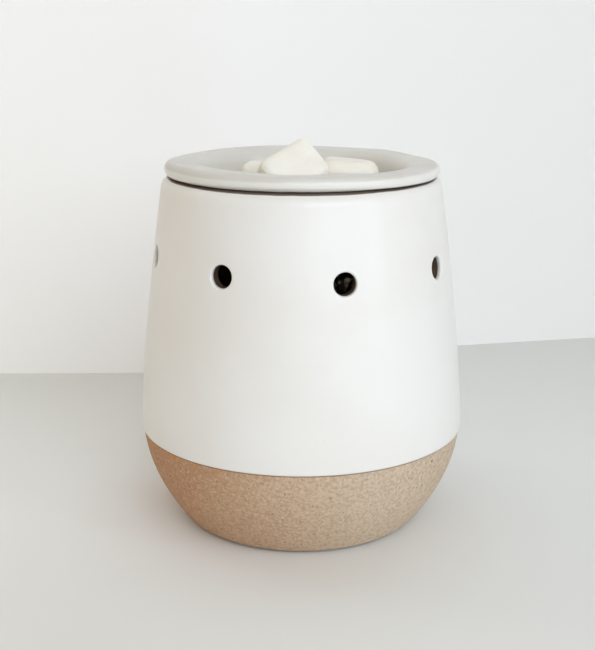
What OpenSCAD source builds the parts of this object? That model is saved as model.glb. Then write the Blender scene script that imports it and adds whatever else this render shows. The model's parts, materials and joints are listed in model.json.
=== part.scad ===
// Electric wax warmer: a dipped stoneware shell over a reflector bulb, with a lift-off dish on its lip.
// Millimetres, Z up, origin on the table under the middle of the shell, front towards -Y.

/* [Shell] */
// Height of the clay lip over the table
lip_z = 133.5; // [120:1:150]
// Radius of the clay foot
foot_r = 45.8; // [45:0.5:50]
// Largest radius of the clay
belly_r = 62; // [58:0.5:70]
// Height at which the clay is widest
belly_z = 40.6; // [36:1:50]
// How far the wall leans in from its widest place to the lip
taper_in = 10.4; // [6:0.2:12]
// Wall thickness of the clay
wall_t = 4; // [3:0.5:5]
// Rounding of the outer shoulder
shoulder_r = 4.5; // [3:0.5:4.8]
// Width of the lip, from the shoulder in to the opening
lip_w = 6.4; // [5.5:0.1:7]
// Rounding of the inner side of the lip
lip_round = 1.2; // [0.8:0.1:1.2]
// Height of the turned-in part of the lip
lip_h = 4.5; // [3:0.5:6]
// Gap between the clay and the table
foot_gap = 0.8; // [0.5:0.1:2]
// Rounding of the clay at the foot
foot_round = 1.2; // [0.5:0.1:2]
// Width of the foot ring, from its outside in to the recess
ring_w = 5.8; // [5:0.2:8]
// Width of the clay ledge between the recess and the access hole
ledge_w = 6; // [5:0.2:7]
// Thickness of the clay floor
floor_t = 4.6; // [3:0.2:6]
// Fillet between the floor and the wall
floor_fillet = 5; // [3:0.5:6]

/* [Glaze] */
// Thickness of the glaze
glaze_t = 0.5; // [0.3:0.1:0.8]
// Height of the glaze line over the table
glaze_z = 37.3; // [25:1:60]

/* [Vents] */
// Number of vent holes
vent_n = 8; // [4:1:10]
// Radius of a vent hole
vent_r = 4.2; // [3:0.2:6]
// Height of the ring of vents
vent_z = 104.2; // [80:1:115]
// How far the glaze stands back from a vent
vent_glaze_gap = 0.25; // [0.1:0.05:0.5]

/* [Dish] */
// How far the dish's rim stands back from the shoulder
rim_back = 0.5; // [0:0.1:1]
// Height of the rim over its seat
rim_h = 4.9; // [3.5:0.1:6]
// How far the rim's lower edge stands off the shell
rim_lift = 0.2; // [0.1:0.05:0.5]
// Width of the rim's rounded edge
edge_w = 2.15; // [1.8:0.05:2.5]
// How far the edge of the flat seat lies under the rim
seat_under = 2.2; // [2:0.1:3]
// Play of the dish in the glazed opening
seat_play = 0.3; // [0.2:0.05:0.6]
// Width of the rim's slope from the seat's inner edge in to the well
slope_w = 4.8; // [4:0.2:6]
// Depth of the underside below the seat
dish_depth = 17; // [14:0.5:22]
// Wall thickness of the dish
dish_t = 3.4; // [3:0.2:4]
// Width of the bowl's bend from the well in to the flat under the dish
bowl_w = 11.1; // [10:0.1:14]
// Waviness of the hand-made rim: in radius, in height and of its lower edge
wave_r = 0.5; // [0:0.05:0.8]
wave_h = 0.75; // [0:0.05:0.9]
wave_low = 0.4; // [0:0.05:0.45]

/* [Wax melts] */
// Room that a wax melt leaves of the bowl's radius
melt_room = 17.6; // [17:0.2:20]
// How much narrower and lower than its length a wax melt is
melt_narrow = 2; // [1:0.5:5]
melt_low = 5; // [3:0.5:7]
// Rounding of a wax melt
melt_round = 2.5; // [2:0.2:5]
// How much each side of a wax melt draws in towards its small end
melt_draft = 1.4; // [0:0.1:2]

/* [Base] */
// Thickness of the steel base plate
plate_t = 1.2; // [0.8:0.1:2]
// Clearance round the base plate
plate_clear = 0.6; // [0.3:0.1:1]
// Height of the base plate over the table
plate_z = 4.4; // [3.8:0.2:6]
// Thickness of the gasket between plate and clay
gasket_t = 0.8; // [0.5:0.1:1.5]
// Radius of a rubber foot, and how far the middle of a foot stands back from the recess
pad_r = 5; // [3.5:0.5:5.5]
pad_back = 9; // [8:0.5:12]
// Length, width and spacing of the air slots
slot_l = 12; // [8:0.5:14]
slot_w = 2.6; // [1.5:0.1:3.5]
slot_pitch = 6; // [5:0.5:7]
// Middle of a row of slots, measured from the axis
slot_x = 17.5; // [16:0.5:18]

/* [Lamp bracket] */
// Thickness of the bracket's sheet
bracket_t = 1.2; // [0.8:0.1:1.6]
// Width of the bracket
bracket_w = 30; // [28:0.5:34]
// Height of the bracket's platform over the table
platform_z = 26.5; // [24:0.5:32]
// How far a leg stands back from the screw in its foot
leg_back = 9.8; // [9:0.1:11]
// How far the bracket's foot reaches past its screw
bracket_past = 11.2; // [9:0.1:12]
// Inner radius of the bracket's bends
bend_r = 2; // [1:0.2:3]
// Thickness of the heat pads under the feet
heat_pad_t = 0.8; // [0.5:0.1:1.5]
// Radius of the wire hole in the platform
wire_hole_r = 7.4; // [6.5:0.1:7.8]

/* [Lampholder] */
// Radius and height of the porcelain
holder_r = 14; // [13.6:0.1:16]
holder_h = 17; // [15:0.5:20]
// Distance of a pin from the axis
pin_x = 5; // [4.5:0.1:5.5]
// Turn of the bulb between its lock and its release
twist = 30; // [20:1:40]
// Thickness of the porcelain over the pin heads
holder_lip_t = 4.2; // [3:0.1:5]
// Height of the chamber that the pin heads turn in
chamber_h = 5.8; // [5:0.1:7]
// Distance of a fixing screw from the axis
holder_screw_y = 10.4; // [10:0.1:10.8]

/* [Bulb] */
// Radius of the reflector
bulb_r = 24.8; // [22:0.2:26]
// Length of the bulb without its pins
bulb_l = 46.5; // [44:0.5:52]
// Radius of the cap
cap_r = 9.3; // [8.8:0.1:9.6]
// Radius of a pin, and of its head
pin_r = 1.5; // [1.2:0.1:1.7]
pin_head_r = 2.5; // [2.3:0.1:2.7]
// Length of a pin
pin_l = 6.9; // [6.5:0.1:7.5]
// Wall of the reflector
reflector_t = 1.4; // [1:0.1:2]

/* [Terminal block and leads] */
// Width, length and height of the block
block_w = 20; // [18:0.5:22]
block_l = 16; // [14:0.5:18]
block_h = 11; // [10:0.5:12]
// Distance of the block's near end from the rear of the access hole
block_back = 24; // [22:0.5:26]
// Radius of a lead
lead_r = 1; // [0.7:0.1:1.1]
// Radius of the bend in a lead
lead_bend_r = 5; // [3:0.5:6]

/* [Cord outlet] */
// Height of the outlet in the rear wall
outlet_z = 22; // [20:0.5:26]
// Radius of the hole in the clay
outlet_r = 5; // [4:0.2:6]
// Radius of the bore through the grommet
grommet_bore_r = 3.1; // [2.5:0.1:3.5]
// Radius and thickness of a grommet flange
flange_r = 7; // [6.5:0.1:7.5]
flange_t = 1.6; // [1:0.1:2]

/* [Fasteners] */
// Radius and length of a screw
screw_r = 1.5; // [1.3:0.1:1.6]
screw_l = 12; // [11.6:0.1:12.4]
// Radius and height of a screw head
head_r = 2.8; // [2.4:0.1:3]
head_h = 2; // [1.5:0.1:2.2]
// Height and width across flats of a nut
nut_h = 2.4; // [2:0.1:2.6]
nut_af = 5.5; // [5:0.1:5.6]
// Radius and thickness of a washer
washer_r = 3.4; // [3.2:0.1:3.6]
washer_t = 0.5; // [0.4:0.05:0.6]

/* [Hidden] */
$fn = 96;

// Overrun of every cut
cut = 1;
// Power of the curve in which the wall tapers to the lip
taper_power = 1.3;
// Steps along each curve of the shell's outline
foot_steps = 14;
wall_steps = 16;
round_steps = 8;
// Height of each hand-cut vent over the ring, as a share of the vent's radius
vent_drift_shares = [-0.13, -0.12, -0.12, 0.05, -0.08, 0.1, 0.24, 0.2];
// Turn of the first vent from the front
vent_turn = 22.5;

// Running clearances
screw_clear = 0.2;
pin_clear = 0.3;
lead_clear = 0.3;
insert_clear = 0.1;
seat_gap = 0.2;
grommet_clear = 0.1;

// Radii that the shell's sizes give
neck_r = belly_r - taper_in;
opening_r = neck_r - lip_w;
recess_r = foot_r - ring_w;
floor_hole_r = recess_r - ledge_w;

// The clay's outer radius at a height: a round bottom, then a gently curved taper
function clay_r(z) = z <= belly_z
    ? foot_r + (belly_r - foot_r) * (1 - pow(1 - (z - foot_gap) / (belly_z - foot_gap), 2))
    : belly_r - taper_in * pow((z - belly_z) / (lip_z - belly_z), taper_power);
function clay_slope(z) = 2 * (belly_r - foot_r) / (belly_z - foot_gap)
    * (1 - (z - foot_gap) / (belly_z - foot_gap));
function arc(cx, cz, r, from, to, n = round_steps) =
    [for (i = [0:n]) let (a = from + (to - from) * i / n) [cx + r * cos(a), cz + r * sin(a)]];

// Heights of the stack under the bulb
floor_z = plate_z + plate_t + gasket_t;
floor_top = floor_z + floor_t;
bracket_foot_z = floor_top + heat_pad_t;
holder_top = platform_z + holder_h;
cap_z = holder_top + seat_gap;
bulb_top = cap_z + bulb_l;
seat_z = lip_z + glaze_t;
dish_base_z = seat_z - dish_depth;
dish_floor_z = dish_base_z + dish_t;

// The stoneware shell: one revolved outline with a foot ring, a floor and a turned-in lip
inner_fillet_r = clay_r(floor_top + floor_fillet) - wall_t;
lip_low_z = lip_z - lip_round - lip_h;
wall_top_z = lip_low_z - lip_h;
wall_low_z = floor_top + floor_fillet;

function foot_curve() =
    [for (i = [0:foot_steps]) let (z = foot_gap + foot_round + (belly_z - foot_gap - foot_round) * i / foot_steps)
        [clay_r(z), z]];
function taper_curve(from, to, out = 0) =
    [for (i = [1:wall_steps - 1]) let (z = from + (to - from) * i / wall_steps) [clay_r(z) + out, z]];
function shoulder(out = 0) =
    arc(clay_r(lip_z - shoulder_r) - shoulder_r, lip_z - shoulder_r, shoulder_r + out, 0, 90);
function lip_inside(out = 0) = arc(opening_r + lip_round, lip_z - lip_round, lip_round + out, 90, 180, 4);
function inner_curve() =
    [for (i = [0:wall_steps]) let (z = wall_top_z + (wall_low_z - wall_top_z) * i / wall_steps)
        [clay_r(z) - wall_t, z]];

module vent_cuts(r) {
    for (i = [0:vent_n - 1])
        let (z = vent_z + vent_r * vent_drift_shares[i % len(vent_drift_shares)])
        rotate([0, 0, vent_turn - 90 + i * 360 / vent_n])
        translate([opening_r / 2, 0, z])
        rotate([0, 90, 0]) cylinder(r = r, h = belly_r);
}

// Places its children at the outlet, with +Z pointing out of the sloping wall
outlet_tilt = atan(clay_slope(outlet_z));
outlet_wall = wall_t * cos(outlet_tilt);
spot_depth = 0.7;
spot_clear = 0.3;
inner_spot = 0.1;
// The outlet is oval, this much wider on each side than it is high, so that a pull can't turn the grommet
outlet_key = 1.2;
oval_steps = 36;
function oval(r) = [for (i = [0:oval_steps - 1]) let (a = i * 360 / oval_steps)
    [(r + outlet_key) * cos(a), r * sin(a)]];
module oval_block(r, from, to) {
    translate([0, 0, from]) linear_extrude(height = to - from) polygon(oval(r));
}
module at_outlet() {
    translate([0, clay_r(outlet_z), outlet_z]) rotate([-90 - outlet_tilt, 0, 0]) children();
}

module stoneware_body() {
    color([0.76, 0.66, 0.56]) difference() {
        rotate_extrude() polygon(concat(
            [[recess_r, foot_gap], [foot_r - foot_round, foot_gap]],
            foot_curve(),
            taper_curve(belly_z, lip_z - shoulder_r),
            shoulder(),
            lip_inside(),
            [[opening_r, lip_low_z]],
            inner_curve(),
            arc(inner_fillet_r - floor_fillet, wall_low_z, floor_fillet, 0, -90, 6),
            [[floor_hole_r, floor_top], [floor_hole_r, floor_z], [recess_r, floor_z]]
        ));
        vent_cuts(vent_r);
        at_outlet() {
            oval_block(outlet_r, -outlet_wall - floor_fillet, flange_r);
            oval_block(flange_r + spot_clear, -spot_depth, flange_r - spot_depth);
            oval_block(flange_r + spot_clear, inner_spot - outlet_wall - flange_r, inner_spot - outlet_wall);
        }
    }
}

// The glaze: a thin skin from the dip line over the lip
glaze_edge_h = 2 * glaze_t;
module glaze_coat() {
    color([0.93, 0.92, 0.9]) difference() {
        rotate_extrude() polygon(concat(
            [[clay_r(glaze_z), glaze_z], [clay_r(glaze_z) + glaze_t / 2, glaze_z + glaze_t / 4]],
            [[clay_r(glaze_z + glaze_edge_h) + glaze_t, glaze_z + glaze_edge_h]],
            [[clay_r(belly_z) + glaze_t, belly_z]],
            taper_curve(belly_z, lip_z - shoulder_r, glaze_t),
            shoulder(glaze_t),
            lip_inside(glaze_t),
            [[opening_r - glaze_t, lip_low_z], [opening_r, lip_low_z]],
            [for (i = [4:-1:0]) lip_inside()[i]],
            [for (i = [round_steps:-1:0]) shoulder()[i]],
            [for (i = [wall_steps - 2:-1:0]) taper_curve(belly_z, lip_z - shoulder_r)[i]],
            [for (i = [foot_steps:-1:0]) let (p = foot_curve()[i]) if (p[1] > glaze_z + glaze_edge_h) p]
        ));
        vent_cuts(vent_r + vent_glaze_gap);
    }
}

// The dish: rings of points round a soft, slightly uneven rim over a smooth bowl
dish_sides = 72;
base_bend = 5;
floor_bend = 8;
rim_r = neck_r - rim_back;
crest_r = rim_r - edge_w;
seat_out_r = rim_r - seat_under;
seat_in_r = opening_r - glaze_t - seat_play;
well_r = seat_in_r - slope_w;
dish_foot_r = well_r - bowl_w;
base_from = -72;
base_to = -30;
floor_from = -18;
floor_to = -80;
edge_steps = 8;
well_bend = 5.6;
top_z = seat_z + rim_h;
rim_wave_shares = [[1, 0.24, 7], [2, 0.58, -14], [3, 1, -45]];
height_wave_shares = [[1, 1, -132], [2, 0.36, 149], [3, 0.13, -58], [4, 0.24, 140]];
low_wave_shares = [[1, 0.32, -110], [2, 1, 157], [3, 0.24, 105]];

function wave(shares, a) = [for (s = shares) s[1] * cos(s[0] * a - s[2])] * [for (s = shares) 1];
// The rim's top from its crest in to the well: shares of the way in, of the bend's depth, of each wave
rim_top_shares = [[0, 0, 0.7, 1], [0.45, 0, 0.5, 0.98], [0.73, 0.02, 0.4, 0.9], [0.87, 0.07, 0.35, 0.84],
    [1, 0.18, 0.3, 0.76], [1.12, 0.38, 0.22, 0.5], [1.21, 0.66, 0.1, 0.2], [1.26, 1, 0, 0]];
// Each point of the bowl's outline: radius, height, and its shares of the radial, height and low waves
function dish_outline() = concat(
    [[dish_foot_r / 2, dish_base_z, 0, 0, 0], [dish_foot_r, dish_base_z, 0, 0, 0]],
    [for (p = arc(dish_foot_r, dish_base_z + base_bend, base_bend, base_from, base_to, 3)) [p[0], p[1], 0, 0, 0]],
    [[seat_in_r - 2 * lip_round, seat_z - 2 * lip_round, 0, 0, 0],
        [seat_in_r - lip_round / 2, seat_z - lip_round / 2, 0, 0, 0]],
    [[seat_in_r, seat_z, 0, 0, 0], [seat_out_r, seat_z, 0, 0, 0]],
    [for (i = [1:edge_steps - 1]) let (a = -90 + 180 * i / edge_steps, up = (1 + sin(a)) / 2)
        [crest_r + edge_w * cos(a), seat_z + rim_lift + (rim_h - rim_lift) * up, (1 + up) / 2, up, 1 - up]],
    [for (s = rim_top_shares) [crest_r - s[0] * (crest_r - well_r), top_z - s[1] * well_bend, s[2], s[3], 0]],
    [for (p = arc(dish_foot_r - dish_t / 3, dish_floor_z + floor_bend, floor_bend, floor_from, floor_to, 5)) [p[0], p[1], 0, 0, 0]],
    [[dish_foot_r / 2, dish_floor_z, 0, 0, 0]]
);
function ring_points(p) = [for (j = [0:dish_sides - 1]) let (a = j * 360 / dish_sides)
    let (r = p[0] + p[2] * wave_r * wave(rim_wave_shares, a))
    [r * cos(a), r * sin(a), p[1] + p[3] * wave_h * wave(height_wave_shares, a)
        + p[4] * wave_low * wave(low_wave_shares, a)]];

module dish() {
    o = dish_outline();
    m = len(o);
    n = dish_sides;
    pts = concat([[0, 0, dish_base_z]], [for (p = o) each ring_points(p)], [[0, 0, dish_floor_z]]);
    sides = [for (i = [0:m - 2]) for (j = [0:n - 1])
        let (a = 1 + i * n + j, b = 1 + i * n + (j + 1) % n)
        each [[a, a + n, b + n], [a, b + n, b]]];
    under = [for (j = [0:n - 1]) [0, 1 + j, 1 + (j + 1) % n]];
    inside = [for (j = [0:n - 1]) [m * n + 1, 1 + (m - 1) * n + (j + 1) % n, 1 + (m - 1) * n + j]];
    color([0.86, 0.86, 0.84]) polyhedron(points = pts, faces = concat(sides, under, inside));
}

// Wax melts: rounded blocks with drawn-in sides, the small end towards +X, lying in the dish
melt_fn = 20;
melt_l = well_r - melt_room;
melt_w = melt_l - melt_narrow;
melt_h = melt_l - melt_low;
melt_lift = 0.3;
wax_rest_z = dish_floor_z + melt_lift;
flat_melt = [melt_l, melt_w, melt_h];
leant_melt = [melt_l, melt_h, melt_w];
// Place of each melt as shares of its length: along, across and over the floor; its lean back, lean aside and turn
front_melt_shares = [-0.04, -0.681, 0];
left_melt_shares = [-0.658, 0.336, 0];
right_melt_shares = [0.778, 0.569, 0.017];
front_melt_turn = [-25, -35, 14.5];
left_melt_turn = [1.3, 0.6, 98];
right_melt_turn = [0, 2, 5];
module melt(size) {
    hull() for (x = [-1, 1]) let (half = size / 2 - melt_round * [1, 1, 1], draft = x > 0 ? melt_draft : 0)
        for (y = [-1, 1]) for (z = [-1, 1])
        translate([x * half[0], y * (half[1] - draft), z * (half[2] - draft)]) sphere(r = melt_round, $fn = melt_fn);
}
// Height of a turned melt's middle over its lowest point
function melt_rise(size, turn) = melt_round + (size / 2 - melt_round * [1, 1, 1])
    * [abs(cos(turn[0]) * sin(turn[1])), abs(sin(turn[0])), abs(cos(turn[0]) * cos(turn[1]))];
module melt_at(size, shares, turn) {
    translate(shares * melt_l + [0, 0, wax_rest_z + melt_rise(size, turn)])
        rotate([0, 0, turn[2]]) rotate([turn[0], 0, 0]) rotate([0, turn[1], 0]) melt(size);
}
module wax_melt_front() {
    color([0.96, 0.94, 0.9]) melt_at(leant_melt, front_melt_shares, front_melt_turn);
}
module wax_melt_left() {
    color([0.95, 0.93, 0.88]) melt_at(flat_melt, left_melt_shares, left_melt_turn);
}
module wax_melt_right() {
    color([0.95, 0.94, 0.9]) melt_at(flat_melt, right_melt_shares, right_melt_turn);
}

// The cord's grommet, seated in the sloping rear wall
grommet_neck = outlet_wall - spot_depth - inner_spot;
flange_edge = 0.5;
module cord_grommet() {
    low = -spot_depth - grommet_neck;
    inside = low - flange_t;
    outside = flange_t - spot_depth;
    color([0.85, 0.84, 0.82]) at_outlet() difference() {
        union() {
            oval_block(outlet_r - grommet_clear, inside, outside);
            oval_block(flange_r - flange_edge, inside, low);
            oval_block(flange_r, inside + flange_edge, low);
            oval_block(flange_r, -spot_depth, outside - flange_edge);
            oval_block(flange_r - flange_edge, -spot_depth, outside);
        }
        translate([0, 0, inside - cut]) cylinder(r = grommet_bore_r, h = outside - inside + 2 * cut);
    }
}

// The closed base: a slotted steel plate against a gasket, on four rubber feet
base_screw_x = floor_hole_r - washer_r - gasket_t;
bracket_reach = base_screw_x + bracket_past;
leg_x = base_screw_x - leg_back;
block_y = floor_hole_r - block_back;
block_mid_y = block_y + block_l / 2;
screw_spots = [[base_screw_x, 0], [-base_screw_x, 0], [0, block_mid_y]];
gasket_in_r = floor_hole_r + gasket_t;
plate_r = recess_r - plate_clear;
pad_ring_r = recess_r - pad_back;
module slot(l, w, h) {
    translate([-l / 2 + w / 2, -w / 2, 0]) cube([l - w, w, h]);
    for (x = [-1, 1]) translate([x * (l - w) / 2, 0, 0]) cylinder(d = w, h = h);
}
module base_plate() {
    color([0.78, 0.78, 0.77]) translate([0, 0, plate_z]) difference() {
        cylinder(r = plate_r, h = plate_t);
        for (p = screw_spots) translate([p[0], p[1], -cut])
            cylinder(r = screw_r + screw_clear, h = plate_t + 2 * cut);
        for (x = [-1, 1]) for (y = [-2, -1, 1, 2]) translate([x * slot_x, y * slot_pitch, -cut])
            slot(slot_l, slot_w, plate_t + 2 * cut);
    }
}
module base_gasket() {
    color([0.35, 0.34, 0.33]) translate([0, 0, plate_z + plate_t]) difference() {
        cylinder(r = plate_r, h = gasket_t);
        translate([0, 0, -cut]) cylinder(r = gasket_in_r, h = gasket_t + 2 * cut);
    }
}
pad_edge = 0.6;
module rubber_feet() {
    color([0.2, 0.2, 0.2]) for (i = [0:3]) rotate([0, 0, 45 + 90 * i]) translate([pad_ring_r, 0, 0])
        rotate_extrude() polygon([[0, 0], [pad_r - 2 * pad_edge, 0], [pad_r - pad_edge, pad_edge],
            [pad_r, plate_z], [0, plate_z]]);
}

// A cross-recess pan-head screw pointing up, with the underside of its head at z = 0
recess_l = 3;
recess_w = 0.8;
recess_deep = 1.1;
head_edge = 0.5;
module pan_screw(l) {
    difference() {
        union() {
            rotate_extrude() polygon([[0, -head_h], [head_r - 2 * head_edge, -head_h],
                [head_r - head_edge, -head_h + head_edge / 2], [head_r, -head_edge], [head_r, 0], [0, 0]]);
            cylinder(r = screw_r, h = l);
        }
        for (a = [0, 90]) rotate([0, 0, a])
            translate([-recess_l / 2, -recess_w / 2, -head_h - cut]) cube([recess_l, recess_w, recess_deep + cut]);
    }
}
nut_bore = screw_r + screw_clear / 4;
module nut() {
    difference() {
        cylinder(d = nut_af / cos(30), h = nut_h, $fn = 6);
        translate([0, 0, -cut]) cylinder(r = nut_bore, h = nut_h + 2 * cut);
    }
}
block_web_z = plate_z + plate_t + block_h - nut_h - 2 * washer_t;
nut_bases = [bracket_foot_z + bracket_t, bracket_foot_z + bracket_t, block_web_z];
module base_screws() {
    color([0.8, 0.8, 0.8]) for (p = screw_spots) translate([p[0], p[1], plate_z]) pan_screw(screw_l);
}
module base_washers() {
    color([0.72, 0.72, 0.72]) for (i = [0:2]) translate([screw_spots[i][0], screw_spots[i][1], nut_bases[i]])
        difference() {
            cylinder(r = washer_r, h = washer_t);
            translate([0, 0, -cut]) cylinder(r = screw_r + screw_clear, h = washer_t + 2 * cut);
        }
}
module base_nuts() {
    color([0.75, 0.75, 0.74]) for (i = [0:2])
        translate([screw_spots[i][0], screw_spots[i][1], nut_bases[i] + washer_t]) nut();
}

// The lamp bracket: one strip bent into a bridge, standing on heat pads on the clay floor
module bend(r, t) {
    intersection() {
        difference() {
            circle(r = r + t);
            circle(r = r);
        }
        square(r + t);
    }
}
module bridge_half() {
    top = platform_z;
    low = bracket_foot_z;
    bend_x = leg_x - bend_r - bracket_t;
    translate([0, top - bracket_t]) square([bend_x, bracket_t]);
    translate([bend_x, top - bend_r - bracket_t]) bend(bend_r, bracket_t);
    translate([leg_x - bracket_t, low + bracket_t + bend_r])
        square([bracket_t, top - low - 2 * (bracket_t + bend_r)]);
    translate([leg_x + bend_r, low + bracket_t + bend_r]) rotate(180) bend(bend_r, bracket_t);
    translate([leg_x + bend_r, low]) square([bracket_reach - leg_x - bend_r, bracket_t]);
}
// The strip narrows to rounded feet
foot_w = bracket_w / 2;
module lamp_bracket() {
    color([0.7, 0.71, 0.72]) difference() {
        intersection() {
            translate([0, bracket_w / 2, 0]) rotate([90, 0, 0]) linear_extrude(bracket_w) {
                bridge_half();
                mirror([1, 0]) bridge_half();
            }
            linear_extrude(platform_z + cut) {
                square([2 * leg_x, bracket_w], center = true);
                square([2 * (bracket_reach - foot_w / 2), foot_w], center = true);
                for (x = [-1, 1]) translate([x * (bracket_reach - foot_w / 2), 0]) circle(d = foot_w);
            }
        }
        cylinder(r = wire_hole_r, h = platform_z + cut);
        for (y = [-1, 1]) translate([0, y * holder_screw_y, 0])
            cylinder(r = screw_r + screw_clear, h = platform_z + cut);
        for (x = [-1, 1]) translate([x * base_screw_x, 0, 0])
            cylinder(r = screw_r + screw_clear, h = platform_z);
        for (x = [-1, 1]) translate([x * leg_x, 0, (platform_z + bracket_foot_z) / 2]) rotate([0, 90, 0])
            cylinder(r = leg_hole_r, h = 4 * bracket_t, center = true);
    }
}
leg_hole_r = 3.2;
heat_pad_l = 5;
module heat_pads() {
    color([0.88, 0.87, 0.82]) for (x = [-1, 1])
        translate([x * (bracket_reach - heat_pad_l / 2 - bracket_t) - heat_pad_l / 2, -foot_w / 3, floor_top])
        cube([heat_pad_l, 2 * foot_w / 3, heat_pad_t]);
}

// The lampholder: porcelain with two keyhole slots over chambers that the pin heads turn in
chamber_top = holder_top - holder_lip_t;
chamber_z = chamber_top - chamber_h;
counterbore_z = platform_z + holder_h / 2;
slot_step = 0.05;
wedge_r = 3 * pin_x;
module turned_slot(r) {
    for (a = [0, twist]) rotate(a) translate([pin_x, 0]) circle(r = r);
    intersection() {
        difference() {
            circle(r = pin_x + r - slot_step);
            circle(r = pin_x - r + slot_step);
        }
        polygon([[0, 0], [wedge_r, 0], [wedge_r * cos(twist), wedge_r * sin(twist)]]);
    }
}
holder_edge = 0.8;
module lampholder() {
    color([0.93, 0.91, 0.86]) difference() {
        rotate_extrude() polygon([[0, platform_z], [holder_r, platform_z], [holder_r, holder_top - holder_edge],
            [holder_r - holder_edge, holder_top], [0, holder_top]]);
        for (a = [0, 180]) rotate([0, 0, a]) {
            translate([0, 0, chamber_top - cut]) linear_extrude(holder_lip_t + 2 * cut)
                turned_slot(pin_r + pin_clear);
            translate([0, 0, chamber_z]) linear_extrude(chamber_h) turned_slot(pin_head_r + pin_clear);
            rotate([0, 0, twist]) translate([pin_x, 0, chamber_top - cut])
                cylinder(r = pin_head_r + pin_clear - slot_step, h = holder_lip_t + 2 * cut);
        }
        for (x = [-1, 1]) translate([x * pin_x, 0, platform_z - cut])
            cylinder(r = lead_r + lead_clear, h = chamber_z - platform_z + 2 * cut);
        for (y = [-1, 1]) translate([0, y * holder_screw_y, platform_z - cut]) {
            cylinder(r = screw_r + screw_clear, h = holder_h + 2 * cut);
            translate([0, 0, counterbore_z - platform_z + cut]) cylinder(r = head_r + screw_clear, h = holder_h);
        }
    }
}

// Sprung contacts under the pin heads, each folded from strip, with a tail down to its lead
spring_t = 0.5;
spring_w = 2.4;
spring_l = 2.9;
tail_l = 3;
pin_tip_z = cap_z - pin_l;
module lampholder_contacts() {
    spring_h = pin_tip_z - seat_gap - chamber_z;
    color([0.82, 0.68, 0.38]) for (a = [0, 180]) rotate([0, 0, a]) translate([pin_x, 0, chamber_z]) {
        translate([0, spring_w / 2, 0]) rotate([90, 0, 0]) linear_extrude(spring_w) difference() {
            translate([-spring_l / 2, 0]) square([spring_l, spring_h]);
            translate([-spring_l / 2 - spring_t, spring_t]) square([spring_l, spring_h - 2 * spring_t]);
        }
        translate([0, 0, -tail_l]) cylinder(r = lead_r, h = tail_l);
    }
}
module lampholder_screws() {
    color([0.8, 0.8, 0.8]) for (y = [-1, 1]) translate([0, y * holder_screw_y, counterbore_z])
        rotate([180, 0, 0]) pan_screw(screw_l);
}
module lampholder_nuts() {
    color([0.75, 0.75, 0.74]) for (y = [-1, 1])
        translate([0, y * holder_screw_y, platform_z - bracket_t - nut_h]) nut();
}

// The terminal block: two barrels with brass inserts, joined by a low web under its fixing screw
block_z = plate_z + plate_t;
insert_r = 2.5;
insert_bore_r = 1.5;
insert_inset = 1;
entry_z = block_z + block_h / 2 - washer_t;
clamp_r = 1.2;
clamp_hole_r = 1.7;
clamp_gap = 0.1;
clamp_share = 0.27;
barrel_r = block_w / 2 - pin_x;
module block_outline() {
    for (x = [-1, 1]) {
        translate([x * pin_x, entry_z - block_z]) circle(r = barrel_r - 0.1 * barrel_r);
        translate([x * pin_x - barrel_r * 0.9, 0]) square([barrel_r * 1.8, entry_z - block_z]);
        translate([x * pin_x - clamp_hole_r - spring_t, entry_z - block_z])
            square([2 * (clamp_hole_r + spring_t), block_h - entry_z + block_z]);
    }
    translate([-pin_x, 0]) square([2 * pin_x, washer_t * 2]);
}
module terminal_block() {
    color([0.9, 0.9, 0.88]) difference() {
        union() {
            translate([0, block_y + block_l, block_z]) rotate([90, 0, 0]) linear_extrude(block_l) block_outline();
            translate([0, block_mid_y, block_z]) cylinder(r = washer_r + spring_t, h = block_web_z - block_z);
        }
        for (x = [-1, 1]) {
            translate([x * pin_x, block_y - cut, entry_z]) rotate([-90, 0, 0])
                cylinder(r = insert_r + insert_clear, h = block_l + 2 * cut);
            for (s = [clamp_share, 1 - clamp_share]) translate([x * pin_x, block_y + s * block_l, entry_z])
                cylinder(r = clamp_hole_r, h = block_h);
        }
        translate([0, block_mid_y, block_z - cut]) cylinder(r = screw_r + screw_clear, h = block_h + cut);
        translate([0, block_mid_y, block_web_z]) cylinder(r = washer_r + screw_clear, h = block_h);
    }
}
module terminal_inserts() {
    color([0.83, 0.7, 0.36]) for (x = [-1, 1]) difference() {
        translate([x * pin_x, block_y + insert_inset, entry_z]) rotate([-90, 0, 0])
            cylinder(r = insert_r, h = block_l - 2 * insert_inset);
        translate([x * pin_x, block_y, entry_z]) rotate([-90, 0, 0]) cylinder(r = insert_bore_r, h = block_l);
        for (s = [clamp_share, 1 - clamp_share]) translate([x * pin_x, block_y + s * block_l, entry_z])
            cylinder(r = clamp_r + clamp_gap, h = block_h);
    }
}
clamp_l = 3.6;
module terminal_clamp_screws() {
    color([0.8, 0.8, 0.78]) for (x = [-1, 1]) for (s = [clamp_share, 1 - clamp_share])
        translate([x * pin_x, block_y + s * block_l, entry_z + lead_r + clamp_gap]) difference() {
            cylinder(r = clamp_r, h = clamp_l);
            translate([-clamp_r - cut, -recess_w / 4, clamp_l - recess_w])
                cube([2 * (clamp_r + cut), recess_w / 2, recess_w + cut]);
        }
}

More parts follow.
